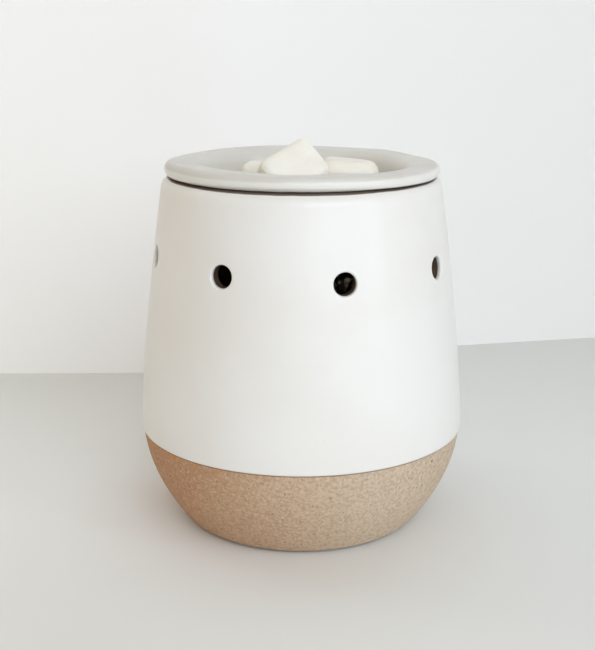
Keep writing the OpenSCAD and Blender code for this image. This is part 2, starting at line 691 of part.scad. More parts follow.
// The two leads: down out of the porcelain, round a bend and into the block
lead_grip = block_l / 2 - insert_inset;
lead_top = chamber_z - tail_l;
module lead(x) {
    translate([x, 0, entry_z + lead_bend_r]) cylinder(r = lead_r, h = lead_top - entry_z - lead_bend_r);
    translate([x, lead_bend_r, entry_z + lead_bend_r]) rotate([90, 0, -90])
        rotate_extrude(angle = -90) translate([lead_bend_r, 0]) circle(r = lead_r);
    translate([x, lead_bend_r, entry_z]) rotate([-90, 0, 0])
        cylinder(r = lead_r, h = block_y + lead_grip - lead_bend_r);
}
module live_lead() {
    color([0.5, 0.28, 0.16]) lead(pin_x);
}
module neutral_lead() {
    color([0.2, 0.36, 0.62]) lead(-pin_x);
}

// The bulb: cap and headed pins, a pressed glass reflector with a silvered inner face, a front glass and the lit capsule
cap_flat = 7.4;
cap_skirt_h = 8;
cap_neck_r = 8.2;
cap_h = 13;
cap_shoulder = 2;
neck_gap = 0.1;
reflector_z = cap_z + cap_h - 2 * cap_shoulder;
mouth_z = bulb_top - reflector_t;
glass_t = 1.6;
glass_ledge = 1.2;
module bulb_cap() {
    color([0.94, 0.93, 0.9]) difference() {
        rotate_extrude() polygon([[0, cap_z], [cap_r, cap_z], [cap_r, cap_z + cap_skirt_h],
            [cap_neck_r, cap_z + cap_skirt_h + cap_shoulder / 2], [cap_neck_r, cap_z + cap_h], [0, cap_z + cap_h]]);
        for (y = [-1, 1]) translate([-cap_r, y * (cap_flat + cap_r / 2) - cap_r / 2, cap_z - cut])
            cube([2 * cap_r, cap_r, cap_skirt_h]);
        for (x = [-1, 1]) translate([x * pin_x, 0, cap_z - cut])
            cylinder(r = pin_r + neck_gap / 2, h = pin_seat + cut);
    }
}
pin_seat = 5;
pin_head_h = 2.2;
module bulb_pins() {
    color([0.75, 0.74, 0.72]) for (x = [-1, 1]) translate([x * pin_x, 0, pin_tip_z]) {
        cylinder(r = pin_head_r, h = pin_head_h);
        cylinder(r = pin_r, h = pin_l + pin_seat);
    }
}
reflector_steps = 10;
reflector_neck_r = cap_neck_r + neck_gap + reflector_t;
function dish_curve(inset) = [for (i = [0:reflector_steps]) let (s = i / reflector_steps)
    [reflector_neck_r + (bulb_r - reflector_neck_r) * pow(s, 0.6) - inset,
        reflector_z + cap_shoulder + (mouth_z - reflector_z - cap_shoulder) * s]];
module bulb_reflector() {
    outer = dish_curve(0);
    inner = dish_curve(reflector_t);
    color([0.82, 0.83, 0.85]) rotate_extrude() polygon(concat(
        [[cap_neck_r + neck_gap, reflector_z], [reflector_neck_r, reflector_z]],
        outer,
        [[bulb_r, bulb_top], [bulb_r - reflector_t / 2, bulb_top],
            [bulb_r - reflector_t / 2, bulb_top - glass_t], [bulb_r - glass_ledge, bulb_top - glass_t]],
        [for (i = [reflector_steps - 1:-1:0]) inner[i]]
    ));
}
module bulb_front_glass() {
    color([0.85, 0.9, 0.93, 0.5]) translate([0, 0, bulb_top - glass_t])
        cylinder(r = bulb_r - reflector_t / 2 - neck_gap, h = glass_t - neck_gap);
}
capsule_r = 4.4;
capsule_t = 0.7;
capsule_h = 15;
pinch_w = 7;
pinch_t = 3;
pinch_h = 4;
module bulb_capsule() {
    z = cap_z + cap_h;
    color([0.9, 0.92, 0.95, 0.5]) {
        translate([-pinch_w / 2, -pinch_t / 2, z]) cube([pinch_w, pinch_t, pinch_h]);
        translate([0, 0, z + pinch_h]) rotate_extrude() difference() {
            union() {
                translate([0, -pinch_t / 2]) square([capsule_r, capsule_h - capsule_r]);
                intersection() {
                    translate([0, capsule_h - capsule_r - pinch_t / 2]) circle(r = capsule_r);
                    translate([0, capsule_h - capsule_r - pinch_t / 2]) square(capsule_r);
                }
            }
            translate([0, pinch_t / 2]) square([capsule_r - capsule_t, capsule_h - capsule_r - pinch_t]);
        }
    }
}
filament_r = 0.5;
filament_l = 4;
module bulb_filament() {
    z = cap_z + cap_h + pinch_h + pinch_t / 2;
    color([0.6, 0.55, 0.5]) {
        for (x = [-1, 1]) translate([x * filament_l / 2, 0, z])
            cylinder(r = filament_r / 2, h = capsule_h / 3);
        translate([-filament_l / 2 - filament_r, 0, z + capsule_h / 3]) rotate([0, 90, 0])
            cylinder(r = filament_r, h = filament_l + 2 * filament_r);
    }
}

stoneware_body();
glaze_coat();
dish();
wax_melt_front();
wax_melt_left();
wax_melt_right();
cord_grommet();
base_plate();
base_gasket();
rubber_feet();
base_screws();
base_washers();
base_nuts();
lamp_bracket();
heat_pads();
lampholder();
lampholder_contacts();
lampholder_screws();
lampholder_nuts();
terminal_block();
terminal_inserts();
terminal_clamp_screws();
live_lead();
neutral_lead();
bulb_cap();
bulb_pins();
bulb_reflector();
bulb_front_glass();
bulb_capsule();
bulb_filament();
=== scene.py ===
"""An electric wax warmer, dressed for a studio picture.

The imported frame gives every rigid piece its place. This script models the visible shell, dish, wax and
grommet more finely inside that frame, gives every piece a finish made of shader nodes, and sets a plain
stage, soft lamps and the camera. Sizes are millimetres until they reach Blender.
"""

from __future__ import annotations

import json
import logging
import math
from contextlib import contextmanager
from dataclasses import dataclass
from enum import Enum
from typing import Callable, Iterator, Sequence

import bmesh
import bpy
from mathutils import Matrix, Vector

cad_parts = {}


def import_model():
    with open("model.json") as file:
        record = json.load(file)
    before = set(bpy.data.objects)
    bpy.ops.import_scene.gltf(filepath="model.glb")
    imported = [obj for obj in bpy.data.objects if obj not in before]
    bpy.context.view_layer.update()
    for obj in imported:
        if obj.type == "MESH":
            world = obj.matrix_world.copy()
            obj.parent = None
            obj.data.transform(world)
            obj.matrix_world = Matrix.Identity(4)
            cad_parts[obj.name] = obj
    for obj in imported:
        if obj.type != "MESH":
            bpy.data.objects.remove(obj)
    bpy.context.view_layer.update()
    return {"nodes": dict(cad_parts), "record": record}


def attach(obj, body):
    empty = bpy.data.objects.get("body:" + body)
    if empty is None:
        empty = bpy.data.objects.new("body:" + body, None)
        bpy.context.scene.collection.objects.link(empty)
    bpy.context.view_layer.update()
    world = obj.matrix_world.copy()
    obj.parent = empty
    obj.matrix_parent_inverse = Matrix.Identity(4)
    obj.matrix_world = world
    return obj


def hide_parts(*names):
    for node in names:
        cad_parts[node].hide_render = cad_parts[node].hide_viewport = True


LOG = logging.getLogger("wax_warmer")
MM = 0.001
MERGE_REACH = 0.002

Piece = bpy.types.Object
Tree = bpy.types.NodeTree
Node = bpy.types.Node
Socket = bpy.types.NodeSocket
Pair = tuple[float, float]
Outline = list[Pair]
Triple = tuple[float, float, float]
Colour = tuple[float, float, float, float]


# ---------------------------------------------------------------- modelling by hand


class Pick(Enum):
    """What a selection picks."""

    VERTS = "VERT"
    FACES = "FACE"


def take(piece: Piece) -> None:
    """Selects one object alone and makes it active.

    Args:
        piece: The object to work on.
    """
    bpy.ops.object.select_all(action="DESELECT")
    piece.select_set(True)
    bpy.context.view_layer.objects.active = piece


@contextmanager
def editing(piece: Piece, mode: Pick = Pick.VERTS) -> Iterator[None]:
    """Opens a piece in edit mode with nothing selected, and closes it again.

    Args:
        piece: The object to edit.
        mode: What selections pick.
    """
    take(piece)
    bpy.ops.object.mode_set(mode="EDIT")
    bpy.ops.mesh.select_mode(type=mode.value)
    bpy.ops.mesh.select_all(action="DESELECT")
    try:
        yield
    finally:
        bpy.ops.object.mode_set(mode="OBJECT")


def pick_all() -> None:
    """Selects the whole mesh, in edit mode."""
    bpy.ops.mesh.select_all(action="SELECT")


def choose(piece: Piece, test: Callable[[Vector], bool], mode: Pick = Pick.VERTS) -> None:
    """Selects the vertices or faces whose middle passes a test, in edit mode.

    Args:
        piece: The object in edit mode.
        test: Takes a place in millimetres and says whether it is picked.
        mode: What is picked.
    """
    mesh = bmesh.from_edit_mesh(piece.data)
    bpy.ops.mesh.select_all(action="DESELECT")
    if mode is Pick.FACES:
        found = [f for f in mesh.faces if test(f.calc_center_median() / MM)]
    else:
        found = [v for v in mesh.verts if test(v.co / MM)]
    for item in found:
        item.select = True
    mesh.select_flush_mode()
    bmesh.update_edit_mesh(piece.data)


def added(name: str) -> Piece:
    """Names the primitive that was just added.

    Args:
        name: The piece's name.

    Returns:
        The new object.
    """
    piece = bpy.context.object
    piece.name = piece.data.name = name
    return piece


def chain(name: str, points: Sequence[Triple]) -> Piece:
    """Draws a chain of edges, each point drawn out of the one before.

    Args:
        name: The piece's name.
        points: The places, in millimetres.

    Returns:
        The chain.
    """
    bpy.ops.mesh.primitive_plane_add(size=MM, location=(0, 0, 0))
    piece = added(name)
    with editing(piece):
        pick_all()
        bpy.ops.mesh.merge(type="CENTER")
        bpy.ops.transform.translate(value=[value * MM for value in points[0]])
        for start, end in zip(points, points[1:]):
            step = [(b - a) * MM for a, b in zip(start, end)]
            bpy.ops.mesh.extrude_region_move(TRANSFORM_OT_translate={"value": step})
    return piece


def round_block(name: str, radius: float, low: float, high: float, sides: int) -> Piece:
    """Adds a cylinder on the Z axis.

    Args:
        name: The piece's name.
        radius: Its radius, in millimetres.
        low: Height of its lower end.
        high: Height of its upper end.
        sides: Faces round the axis.

    Returns:
        The cylinder.
    """
    bpy.ops.mesh.primitive_cylinder_add(vertices=sides, radius=radius * MM, depth=(high - low) * MM,
                                        location=(0, 0, (low + high) / 2 * MM))
    return added(name)


def scale_picked(x: float, y: float, z: float) -> None:
    """Scales what is selected about the origin, in edit mode."""
    bpy.ops.transform.resize(value=(x, y, z), center_override=(0, 0, 0))


def turned(name: str, outline: Outline, steps: int) -> Piece:
    """Draws an outline point by point and spins it round the Z axis.

    Args:
        name: The piece's name.
        outline: Radius and height of each point, in order.
        steps: Faces round the axis.

    Returns:
        The turned piece, its normals pointing out.
    """
    piece = chain(name, [(radius, 0, height) for radius, height in outline])
    with editing(piece):
        pick_all()
        bpy.ops.mesh.spin(steps=steps, angle=math.tau, center=(0, 0, 0), axis=(0, 0, 1))
        pick_all()
        bpy.ops.mesh.remove_doubles(threshold=MERGE_REACH * MM)
        bpy.ops.mesh.normals_make_consistent(inside=False)
    return piece


def apply(piece: Piece, kind: str, **settings: object) -> None:
    """Adds a modifier, sets it and applies it.

    Args:
        piece: The object to change.
        kind: The modifier's type.
        **settings: The modifier's own values.
    """
    take(piece)
    modifier = piece.modifiers.new(kind.title(), kind)
    for key, value in settings.items():
        setattr(modifier, key, value)
    bpy.ops.object.modifier_apply(modifier=modifier.name)


def cut_away(piece: Piece, cutter: Piece) -> None:
    """Cuts one piece with another and throws the cutter away.

    Args:
        piece: The piece to cut.
        cutter: The closed piece to cut with.
    """
    apply(piece, "BOOLEAN", object=cutter, operation="DIFFERENCE", solver="EXACT")
    bpy.data.objects.remove(cutter)


def placed(piece: Piece, place: Matrix) -> Piece:
    """Moves a piece and lets its mesh take the move.

    Args:
        piece: The object to move.
        place: The move, in metres.

    Returns:
        The object, back at the origin.
    """
    take(piece)
    piece.matrix_world = place @ piece.matrix_world
    bpy.context.view_layer.update()
    bpy.ops.object.transform_apply(location=True, rotation=True, scale=True)
    return piece


def smoothed(piece: Piece, angle: float = 32.0) -> Piece:
    """Shades a piece smooth except over sharp edges.

    Args:
        piece: The object to shade.
        angle: The edge angle in degrees that stays sharp.

    Returns:
        The same object.
    """
    take(piece)
    bpy.ops.object.shade_smooth_by_angle(angle=math.radians(angle))
    return piece


def arc(cx: float, cz: float, r: float, start: float, end: float, steps: int) -> Outline:
    """Points on an arc of an outline.

    Args:
        cx: Radius of the arc's middle.
        cz: Height of the arc's middle.
        r: The arc's own radius.
        start: First angle in degrees, from outwards up.
        end: Last angle in degrees.
        steps: Parts that the arc is drawn in.

    Returns:
        The points, both ends among them.
    """
    angles = [math.radians(start + (end - start) * i / steps) for i in range(steps + 1)]
    return [(cx + r * math.cos(a), cz + r * math.sin(a)) for a in angles]


def along(start: float, end: float, steps: int) -> list[float]:
    """Evenly spaced values, both ends among them."""
    return [start + (end - start) * i / steps for i in range(steps + 1)]


# ---------------------------------------------------------------- shader nodes


def srgb(red: int, green: int, blue: int) -> Colour:
    """Turns a display colour into a linear one.

    Args:
        red: Red, 0 to 255.
        green: Green, 0 to 255.
        blue: Blue, 0 to 255.

    Returns:
        The linear colour with full alpha.
    """
    def linear(value: int) -> float:
        """Linear value of one display channel."""
        share = value / 255
        return share / 12.92 if share <= 0.04045 else ((share + 0.055) / 1.055) ** 2.4

    return (linear(red), linear(green), linear(blue), 1.0)


METAL_DUST = srgb(168, 160, 148)
SHEET_DUST = srgb(170, 163, 152)
PLASTIC_DUST = srgb(186, 180, 170)


class Board:
    """A node tree, with short ways to place nodes and join them."""

    def __init__(self, tree: Tree) -> None:
        """Keeps the node tree to work in."""
        self.tree = tree

    def node(self, kind: str, **settings: object) -> Node:
        """Adds a node and sets its own properties.

        Args:
            kind: The node's type.
            **settings: Property names and values.

        Returns:
            The node.
        """
        made = self.tree.nodes.new(kind)
        for key, value in settings.items():
            setattr(made, key, value)
        return made

    def feed(self, target: Socket, source: object) -> None:
        """Gives a socket a link or a value.

        Args:
            target: The input socket.
            source: An output socket, a number or a colour.
        """
        if isinstance(source, Socket):
            self.tree.links.new(source, target)
        else:
            target.default_value = source

    def join(self, made: Node, *sources: object) -> None:
        """Feeds a node's first inputs, in their order."""
        for target, source in zip(made.inputs, sources):
            self.feed(target, source)

    def fill(self, made: Node, inputs: dict[str, object]) -> None:
        """Feeds several inputs of a node, found by name."""
        for key, source in inputs.items():
            self.feed(made.inputs[key], source)

    def math(self, operation: str, a: object, b: object = 0.0) -> Socket:
        """Adds a Math node.

        Args:
            operation: What it does.
            a: First value or socket.
            b: Second value or socket.

        Returns:
            Its output.
        """
        made = self.node("ShaderNodeMath", operation=operation)
        self.join(made, a, b)
        return made.outputs[0]

    def times(self, a: object, b: object) -> Socket:
        """The product of two values."""
        return self.math("MULTIPLY", a, b)

    def remap(self, value: object, low: object, high: object, to_low: float = 0.0,
              to_high: float = 1.0) -> Socket:
        """Maps a value smoothly from one range to another.

        Args:
            value: The socket to map.
            low: Value that gives to_low.
            high: Value that gives to_high.
            to_low: First output.
            to_high: Last output.

        Returns:
            The mapped value.
        """
        made = self.node("ShaderNodeMapRange", interpolation_type="SMOOTHSTEP")
        self.fill(made, {"Value": value, "From Min": low, "From Max": high, "To Min": to_low,
                         "To Max": to_high})
        return made.outputs["Result"]

    def level(self, mask: object, bare: float, full: float) -> Socket:
        """A value that goes from bare to full as a mask goes from 0 to 1."""
        return self.remap(mask, 0.0, 1.0, bare, full)

    def mix(self, share: object, a: object, b: object) -> Socket:
        """Mixes two colours.

        Args:
            share: How much of the second colour.
            a: First colour or socket.
            b: Second colour or socket.

        Returns:
            The mixed colour.
        """
        made = self.node("ShaderNodeMix", data_type="RGBA")
        self.feed(made.inputs[0], share)
        self.feed(made.inputs[6], a)
        self.feed(made.inputs[7], b)
        return made.outputs[2]

    def tint(self, tone: object, colour: Colour, mask: object, share: float) -> Socket:
        """Lays at most a share of a colour over a tone, where a mask says."""
        return self.mix(self.times(mask, share), tone, colour)

    def noise(self, place: object, scale: object, detail: float = 2.0, rough: float = 0.5) -> Socket:
        """Adds a noise texture.

        Args:
            place: The coordinates.
            scale: Waves per metre.
            detail: Octaves.
            rough: Weight of the finer octaves.

        Returns:
            Its value.
        """
        made = self.node("ShaderNodeTexNoise")
        self.fill(made, {"Vector": place, "Scale": scale, "Detail": detail, "Roughness": rough})
        return made.outputs["Fac"]

    def cells(self, place: object, scale: object, feature: str = "F1") -> Node:
        """Adds a Voronoi texture.

        Args:
            place: The coordinates.
            scale: Cells per metre.
            feature: What it measures.

        Returns:
            The texture's node.
        """
        made = self.node("ShaderNodeTexVoronoi", feature=feature)
        self.fill(made, {"Vector": place, "Scale": scale})
        return made

    def split(self, source: object, kind: str = "XYZ") -> bpy.types.bpy_prop_collection:
        """Splits a place or a colour into its parts.

        Args:
            source: The place or colour.
            kind: XYZ for a place, Color for a colour.

        Returns:
            The three parts.
        """
        made = self.node("ShaderNodeSeparate" + kind)
        self.feed(made.inputs[0], source)
        return made.outputs

    def mapped(self, place: object, **settings: Triple) -> Socket:
        """Changes coordinates with a Mapping node.

        Args:
            place: The coordinates.
            **settings: Its Scale, Location or Rotation, for each axis.

        Returns:
            The new coordinates.
        """
        made = self.node("ShaderNodeMapping")
        self.fill(made, {"Vector": place, **settings})
        return made.outputs["Vector"]

    def here(self) -> Socket:
        """Object coordinates of the piece."""
        return self.node("ShaderNodeTexCoord").outputs["Object"]

    def effect(self, group: Tree, **inputs: object) -> Node:
        """Places a shared effect and feeds it.

        Args:
            group: The effect's node group.
            **inputs: Socket names and their values.

        Returns:
            The group node.
        """
        made = self.node("ShaderNodeGroup", node_tree=group)
        self.fill(made, inputs)
        return made

    def mask(self, group: Tree, place: object, **numbers: float) -> Socket:
        """Places a shared effect and gives its first output; see effect."""
        return self.effect(group, Place=place, **numbers).outputs[0]


class Effects:
    """Node groups that several finishes share, each built once."""

    def __init__(self) -> None:
        """Builds every group."""
        self.mottle = self.group("Soft mottle", self.build_mottle, {
            "Scale": 30.0, "Low": 0.35, "High": 0.65}, ["Mask"])
        self.specks = self.group("Specks", self.build_specks, {
            "Scale": 900.0, "Size": 0.3, "Share": 0.3}, ["Mask"])
        self.grain = self.group("Fine grain", self.build_grain, {"Scale": 800.0, "Pits": 0.3}, ["Height"])
        self.brushed = self.group("Brushed metal", self.build_brushed, {
            "Scale": 900.0, "Length": 0.04}, ["Height", "Tone"])
        self.dust = self.group("Settled dust", self.build_dust, {"Scale": 160.0, "Amount": 0.5}, ["Mask"])

    @staticmethod
    def group(name: str, build: Callable[[Board, Node], list[Socket]],
              numbers: dict[str, float], results: list[str]) -> Tree:
        """Makes one node group.

        Args:
            name: The group's name.
            build: Makes the inside from a board and the input node, and returns the results' sockets.
            numbers: Number inputs and their first values.
            results: Names of the outputs.

        Returns:
            The node group.
        """
        tree = bpy.data.node_groups.new(name, "ShaderNodeTree")
        tree.interface.new_socket("Place", in_out="INPUT", socket_type="NodeSocketVector")
        for key, value in numbers.items():
            socket = tree.interface.new_socket(key, in_out="INPUT", socket_type="NodeSocketFloat")
            socket.default_value = value
        for key in results:
            tree.interface.new_socket(key, in_out="OUTPUT", socket_type="NodeSocketFloat")
        board = Board(tree)
        given = board.node("NodeGroupInput")
        out = board.node("NodeGroupOutput")
        for key, source in zip(results, build(board, given)):
            board.feed(out.inputs[key], source)
        return tree

    @staticmethod
    def build_mottle(board: Board, given: Node) -> list[Socket]:
        """Cloudy patches: a slow noise between two levels."""
        noise = board.noise(given.outputs["Place"], given.outputs["Scale"], 4.0)
        return [board.remap(noise, given.outputs["Low"], given.outputs["High"])]

    @staticmethod
    def build_specks(board: Board, given: Node) -> list[Socket]:
        """Round specks of mixed size in some of the cells of a Voronoi pattern."""
        cells = board.cells(given.outputs["Place"], given.outputs["Scale"])
        drawn, grown, _ = board.split(cells.outputs["Color"], "Color")
        present = board.math("LESS_THAN", drawn, given.outputs["Share"])
        radius = board.times(given.outputs["Size"], board.math("ADD", board.times(grown, 0.8), 0.4))
        edge = board.math("DIVIDE", cells.outputs["Distance"], radius)
        return [board.times(board.remap(edge, 0.6, 1.0, 1.0, 0.0), present)]

    @staticmethod
    def build_grain(board: Board, given: Node) -> list[Socket]:
        """A fine sandy height with small pits."""
        noise = board.noise(given.outputs["Place"], given.outputs["Scale"], 5.0, 0.62)
        cells = board.cells(given.outputs["Place"], given.outputs["Scale"])
        pit = board.remap(cells.outputs["Distance"], 0.0, 0.28, 1.0, 0.0)
        return [board.math("SUBTRACT", noise, board.times(pit, given.outputs["Pits"]))]

    @staticmethod
    def build_brushed(board: Board, given: Node) -> list[Socket]:
        """Fine lines along X, from a noise that is drawn out."""
        x, y, z = board.split(given.outputs["Place"])
        drawn = board.node("ShaderNodeCombineXYZ")
        board.join(drawn, board.times(x, given.outputs["Length"]), y, z)
        noise = board.noise(drawn.outputs[0], given.outputs["Scale"], 3.0)
        return [noise, board.remap(noise, 0.3, 0.7)]

    @staticmethod
    def build_dust(board: Board, given: Node) -> list[Socket]:
        """Dust that lies on faces that look up, in soft patches."""
        _, _, tilt = board.split(board.node("ShaderNodeTexCoord").outputs["Normal"])
        up = board.remap(tilt, 0.2, 0.9, 0.15, 1.0)
        patch = board.remap(board.noise(given.outputs["Place"], given.outputs["Scale"], 5.0), 0.35, 0.7)
        return [board.times(board.times(up, patch), given.outputs["Amount"])]


@dataclass(frozen=True)
class Finish:
    """What all finishes have: a name, the record's slot and how rough they are."""

    name: str
    slot: str
    base: Colour
    rough: float

    def material(self, effects: Effects) -> bpy.types.Material:
        """Makes the material.

        Args:
            effects: The shared node groups.

        Returns:
            The finished material.
        """
        made = bpy.data.materials.new(self.name)
        made.use_nodes = True
        made.diffuse_color = self.base
        shader = made.node_tree.nodes["Principled BSDF"]
        self.dress(Board(made.node_tree), shader, effects)
        return made

    def dress(self, board: Board, shader: Node, effects: Effects) -> None:
        """Wires the finish into the shader; each kind of finish has its own.

        Args:
            board: The material's nodes.
            shader: Its Principled BSDF.
            effects: The shared node groups.
        """
        raise NotImplementedError

    @staticmethod
    def raise_grain(board: Board, shader: Node, height: object, depth: float) -> None:
        """Feeds a height to the normal through a Bump node.

        Args:
            board: The material's nodes.
            shader: Its Principled BSDF.
            height: The height's socket.
            depth: Height of a full step, in millimetres.
        """
        bump = board.node("ShaderNodeBump")
        board.fill(bump, {"Strength": 1.0, "Distance": depth * MM, "Height": height})
        board.feed(shader.inputs["Normal"], bump.outputs["Normal"])


@dataclass(frozen=True)
class Band:
    """A ring of thin glaze, painted light or painted shadow: heights, softness and least radius in
    millimetres.
    """

    low: float
    high: float
    soft: float
    inner_r: float
    share: float
    colour: Colour


@dataclass(frozen=True)
class Glaze(Finish):
    """Satin glaze: cloudy tone, a few pinholes and a soft orange-peel surface."""

    thin: Colour
    pin: Colour
    coat: float = 0.15
    peel: float = 0.05
    pin_share: float = 0.05
    bands: tuple[Band, ...] = ()

    def dress(self, board: Board, shader: Node, effects: Effects) -> None:
        """Wires tone, pinholes and surface; see Finish.dress."""
        here = board.here()
        cloud = board.mask(effects.mottle, here, Scale=22.0, Low=0.35, High=0.7)
        tone = board.mix(cloud, self.base, self.thin)
        pins = board.mask(effects.specks, here, Scale=260.0, Size=0.09, Share=self.pin_share)
        tone = board.tint(tone, self.pin, pins, 0.55)
        # Bands lay thin-glaze tints, and also rings of painted light and painted shadow.
        for band in self.bands:
            tone = board.mix(self.in_band(board, here, band), tone, band.colour)
        board.feed(shader.inputs["Base Color"], tone)
        fine = board.mask(effects.mottle, here, Scale=140.0, Low=0.3, High=0.7)
        board.fill(shader, {
            "Roughness": board.level(fine, self.rough - 0.04, self.rough + 0.05),
            "Coat Weight": self.coat,
            "Coat Roughness": 0.28,
            "IOR": 1.5})
        waves = board.noise(here, 75.0, 2.0)
        fine_waves = board.noise(here, 420.0, 3.0)
        height = board.math("ADD", waves, board.times(fine_waves, 0.12))
        height = board.math("SUBTRACT", height, board.times(pins, 0.5))
        self.raise_grain(board, shader, height, self.peel)

    @staticmethod
    def in_band(board: Board, here: Socket, band: Band) -> Socket:
        """Masks a band round the axis.

        Args:
            board: The material's nodes.
            here: Object coordinates.
            band: The band.

        Returns:
            The band's share at each place.
        """
        x, y, z = board.split(here)
        wobble = board.times(board.noise(here, 120.0), band.soft * MM)
        level = board.math("ADD", z, wobble)
        mask = board.times(board.remap(level, band.low * MM, (band.low + band.soft) * MM),
                           board.remap(level, band.high * MM, (band.high + band.soft) * MM, 1.0, 0.0))
        far = board.math("SQRT", board.math("ADD", board.times(x, x), board.times(y, y)))
        outside = board.math("GREATER_THAN", far, band.inner_r * MM)
        return board.times(board.times(mask, outside), band.share)


@dataclass(frozen=True)
class RawClay(Finish):
    """Unglazed stoneware: sandy grain, specks, painted shade on one side and inside, a painted shadow under
    the glaze.
    """

    shade_tone: Colour
    dark: Colour
    pale: Colour
    rust: Colour
    amber: Colour
    inner_shade: Colour
    line_z: float = 37.3

    def dress(self, board: Board, shader: Node, effects: Effects) -> None:
        """Wires painted shade, grain, specks and the painted shadow under the glaze; see Finish.dress."""
        here = board.here()
        x, _, z = board.split(here)
        # Painted shade: the -X side of the clay is darker and warmer, broken up by a slow noise; the amber
        # blush under the glaze line keeps to that side too.
        drift = board.noise(board.mapped(here, Scale=(1, 1, 0.6), Location=(0.03, 0, 0)), 16.0, 3.0)
        lean = board.math("ADD", x, board.times(board.math("SUBTRACT", drift, 0.5), 0.06))
        shaded_side = board.remap(lean, -0.055, 0.05, 1.0, 0.0)
        tone = board.mix(shaded_side, self.base, self.shade_tone)
        sand = board.mask(effects.mottle, here, Scale=820.0, Low=0.4, High=0.62)
        tone = board.tint(tone, self.dark, sand, 0.34)
        grog = board.mask(effects.mottle, board.mapped(here, Location=(0.3, 0.1, 0.2)),
                          Scale=1100.0, Low=0.5, High=0.66)
        tone = board.tint(tone, self.pale, grog, 0.3)
        iron = board.mask(effects.specks, board.mapped(here, Location=(0.4, 0.2, 0.1)),
                          Scale=640.0, Size=0.3, Share=0.3)
        tone = board.tint(tone, self.rust, iron, 0.42)
        big = board.mask(effects.specks, board.mapped(here, Location=(0.1, 0.5, 0.3)),
                         Scale=250.0, Size=0.16, Share=0.16)
        tone = board.tint(tone, self.rust, big, 0.8)
        line = self.line_z * MM
        blush = board.mask(effects.mottle, here, Scale=330.0, Low=0.5, High=0.62)
        near = board.remap(z, line - 0.0042, line - 0.0006)
        amber = board.times(board.times(blush, near), shaded_side)
        tone = board.tint(tone, self.amber, amber, 0.75)
        # Painted shadow: a thin dark rust line just under the glaze edge.
        edge_shadow = board.remap(z, line - 0.0007, line - 0.0002)
        tone = board.tint(tone, self.rust, edge_shadow, 0.75)
        # Painted shade: the clay higher up, which only shows inside the shell, is darkened so the vents look
        # dark.
        inside = board.remap(z, line + 0.02, line + 0.04)
        tone = board.tint(tone, self.inner_shade, inside, 0.7)
        board.fill(shader, {
            "Base Color": tone,
            "Roughness": board.level(sand, self.rough, self.rough - 0.12)})
        grit = board.mask(effects.grain, here, Scale=1000.0, Pits=0.6)
        rings = board.noise(board.mapped(here, Scale=(6, 6, 260)), 1.0, 2.0)
        height = board.math("ADD", grit, board.times(rings, 0.5))
        height = board.math("SUBTRACT", height, board.times(big, 0.8))
        self.raise_grain(board, shader, height, 0.14)


@dataclass(frozen=True)
class Wax(Finish):
    """Scented wax: milky, faintly translucent, with frosting and small bubbles."""

    frost: Colour
    deep: Colour

    def dress(self, board: Board, shader: Node, effects: Effects) -> None:
        """Wires frosting, bubbles and a soft surface; see Finish.dress."""
        here = board.here()
        cloud = board.mask(effects.mottle, here, Scale=60.0, Low=0.35, High=0.68)
        tone = board.mix(cloud, self.base, self.deep)
        frost = board.mask(effects.mottle, here, Scale=420.0, Low=0.5, High=0.72)
        tone = board.tint(tone, self.frost, frost, 0.3)
        board.fill(shader, {
            "Base Color": tone,
            "Roughness": board.level(frost, self.rough - 0.06, self.rough + 0.12),
            "Subsurface Weight": 0.35,
            "Subsurface Radius": (1.0, 0.85, 0.6),
            "Subsurface Scale": 0.004,
            "IOR": 1.44})
        bubbles = board.mask(effects.specks, here, Scale=380.0, Size=0.22, Share=0.16)
        soft = board.noise(here, 160.0, 3.0)
        height = board.math("SUBTRACT", soft, board.times(bubbles, 0.45))
        self.raise_grain(board, shader, height, 0.14)


@dataclass(frozen=True)
class Rubber(Finish):
    """Moulded rubber: matt, a fine texture and grey bloom where it is touched."""

    bloom: Colour

    def dress(self, board: Board, shader: Node, effects: Effects) -> None:
        """Wires bloom and texture; see Finish.dress."""
        here = board.here()
        bloom = board.mask(effects.mottle, here, Scale=180.0, Low=0.45, High=0.75)
        board.fill(shader, {
            "Base Color": board.tint(self.base, self.bloom, bloom, 0.5),
            "Roughness": board.level(bloom, self.rough - 0.08, self.rough + 0.1)})
        grain = board.mask(effects.grain, here, Scale=1500.0, Pits=0.2)
        self.raise_grain(board, shader, grain, 0.05)


@dataclass(frozen=True)
class Metal(Finish):
    """Sheet or turned metal: brushed lines, dull patches and a little dust."""

    dull: Colour
    length: float = 0.05
    dust: float = 0.2
    depth: float = 0.012

    def dress(self, board: Board, shader: Node, effects: Effects) -> None:
        """Wires brushing, dulling and dust; see Finish.dress."""
        here = board.here()
        lines = board.effect(effects.brushed, Place=here, Scale=1400.0, Length=self.length)
        patch = board.mask(effects.mottle, here, Scale=130.0, Low=0.35, High=0.7)
        tone = board.mix(patch, self.base, self.dull)
        tone = board.tint(tone, self.dull, lines.outputs["Tone"], 0.18)
        dust = board.mask(effects.dust, here, Scale=220.0, Amount=self.dust)
        tone = board.mix(dust, tone, METAL_DUST)
        board.fill(shader, {
            "Base Color": tone,
            "Metallic": board.math("SUBTRACT", 1.0, dust)})
        uneven = board.math("ADD", board.times(patch, 0.14), board.times(dust, 0.3))
        board.feed(shader.inputs["Roughness"], board.math("ADD", uneven, self.rough))
        self.raise_grain(board, shader, lines.outputs["Height"], self.depth)


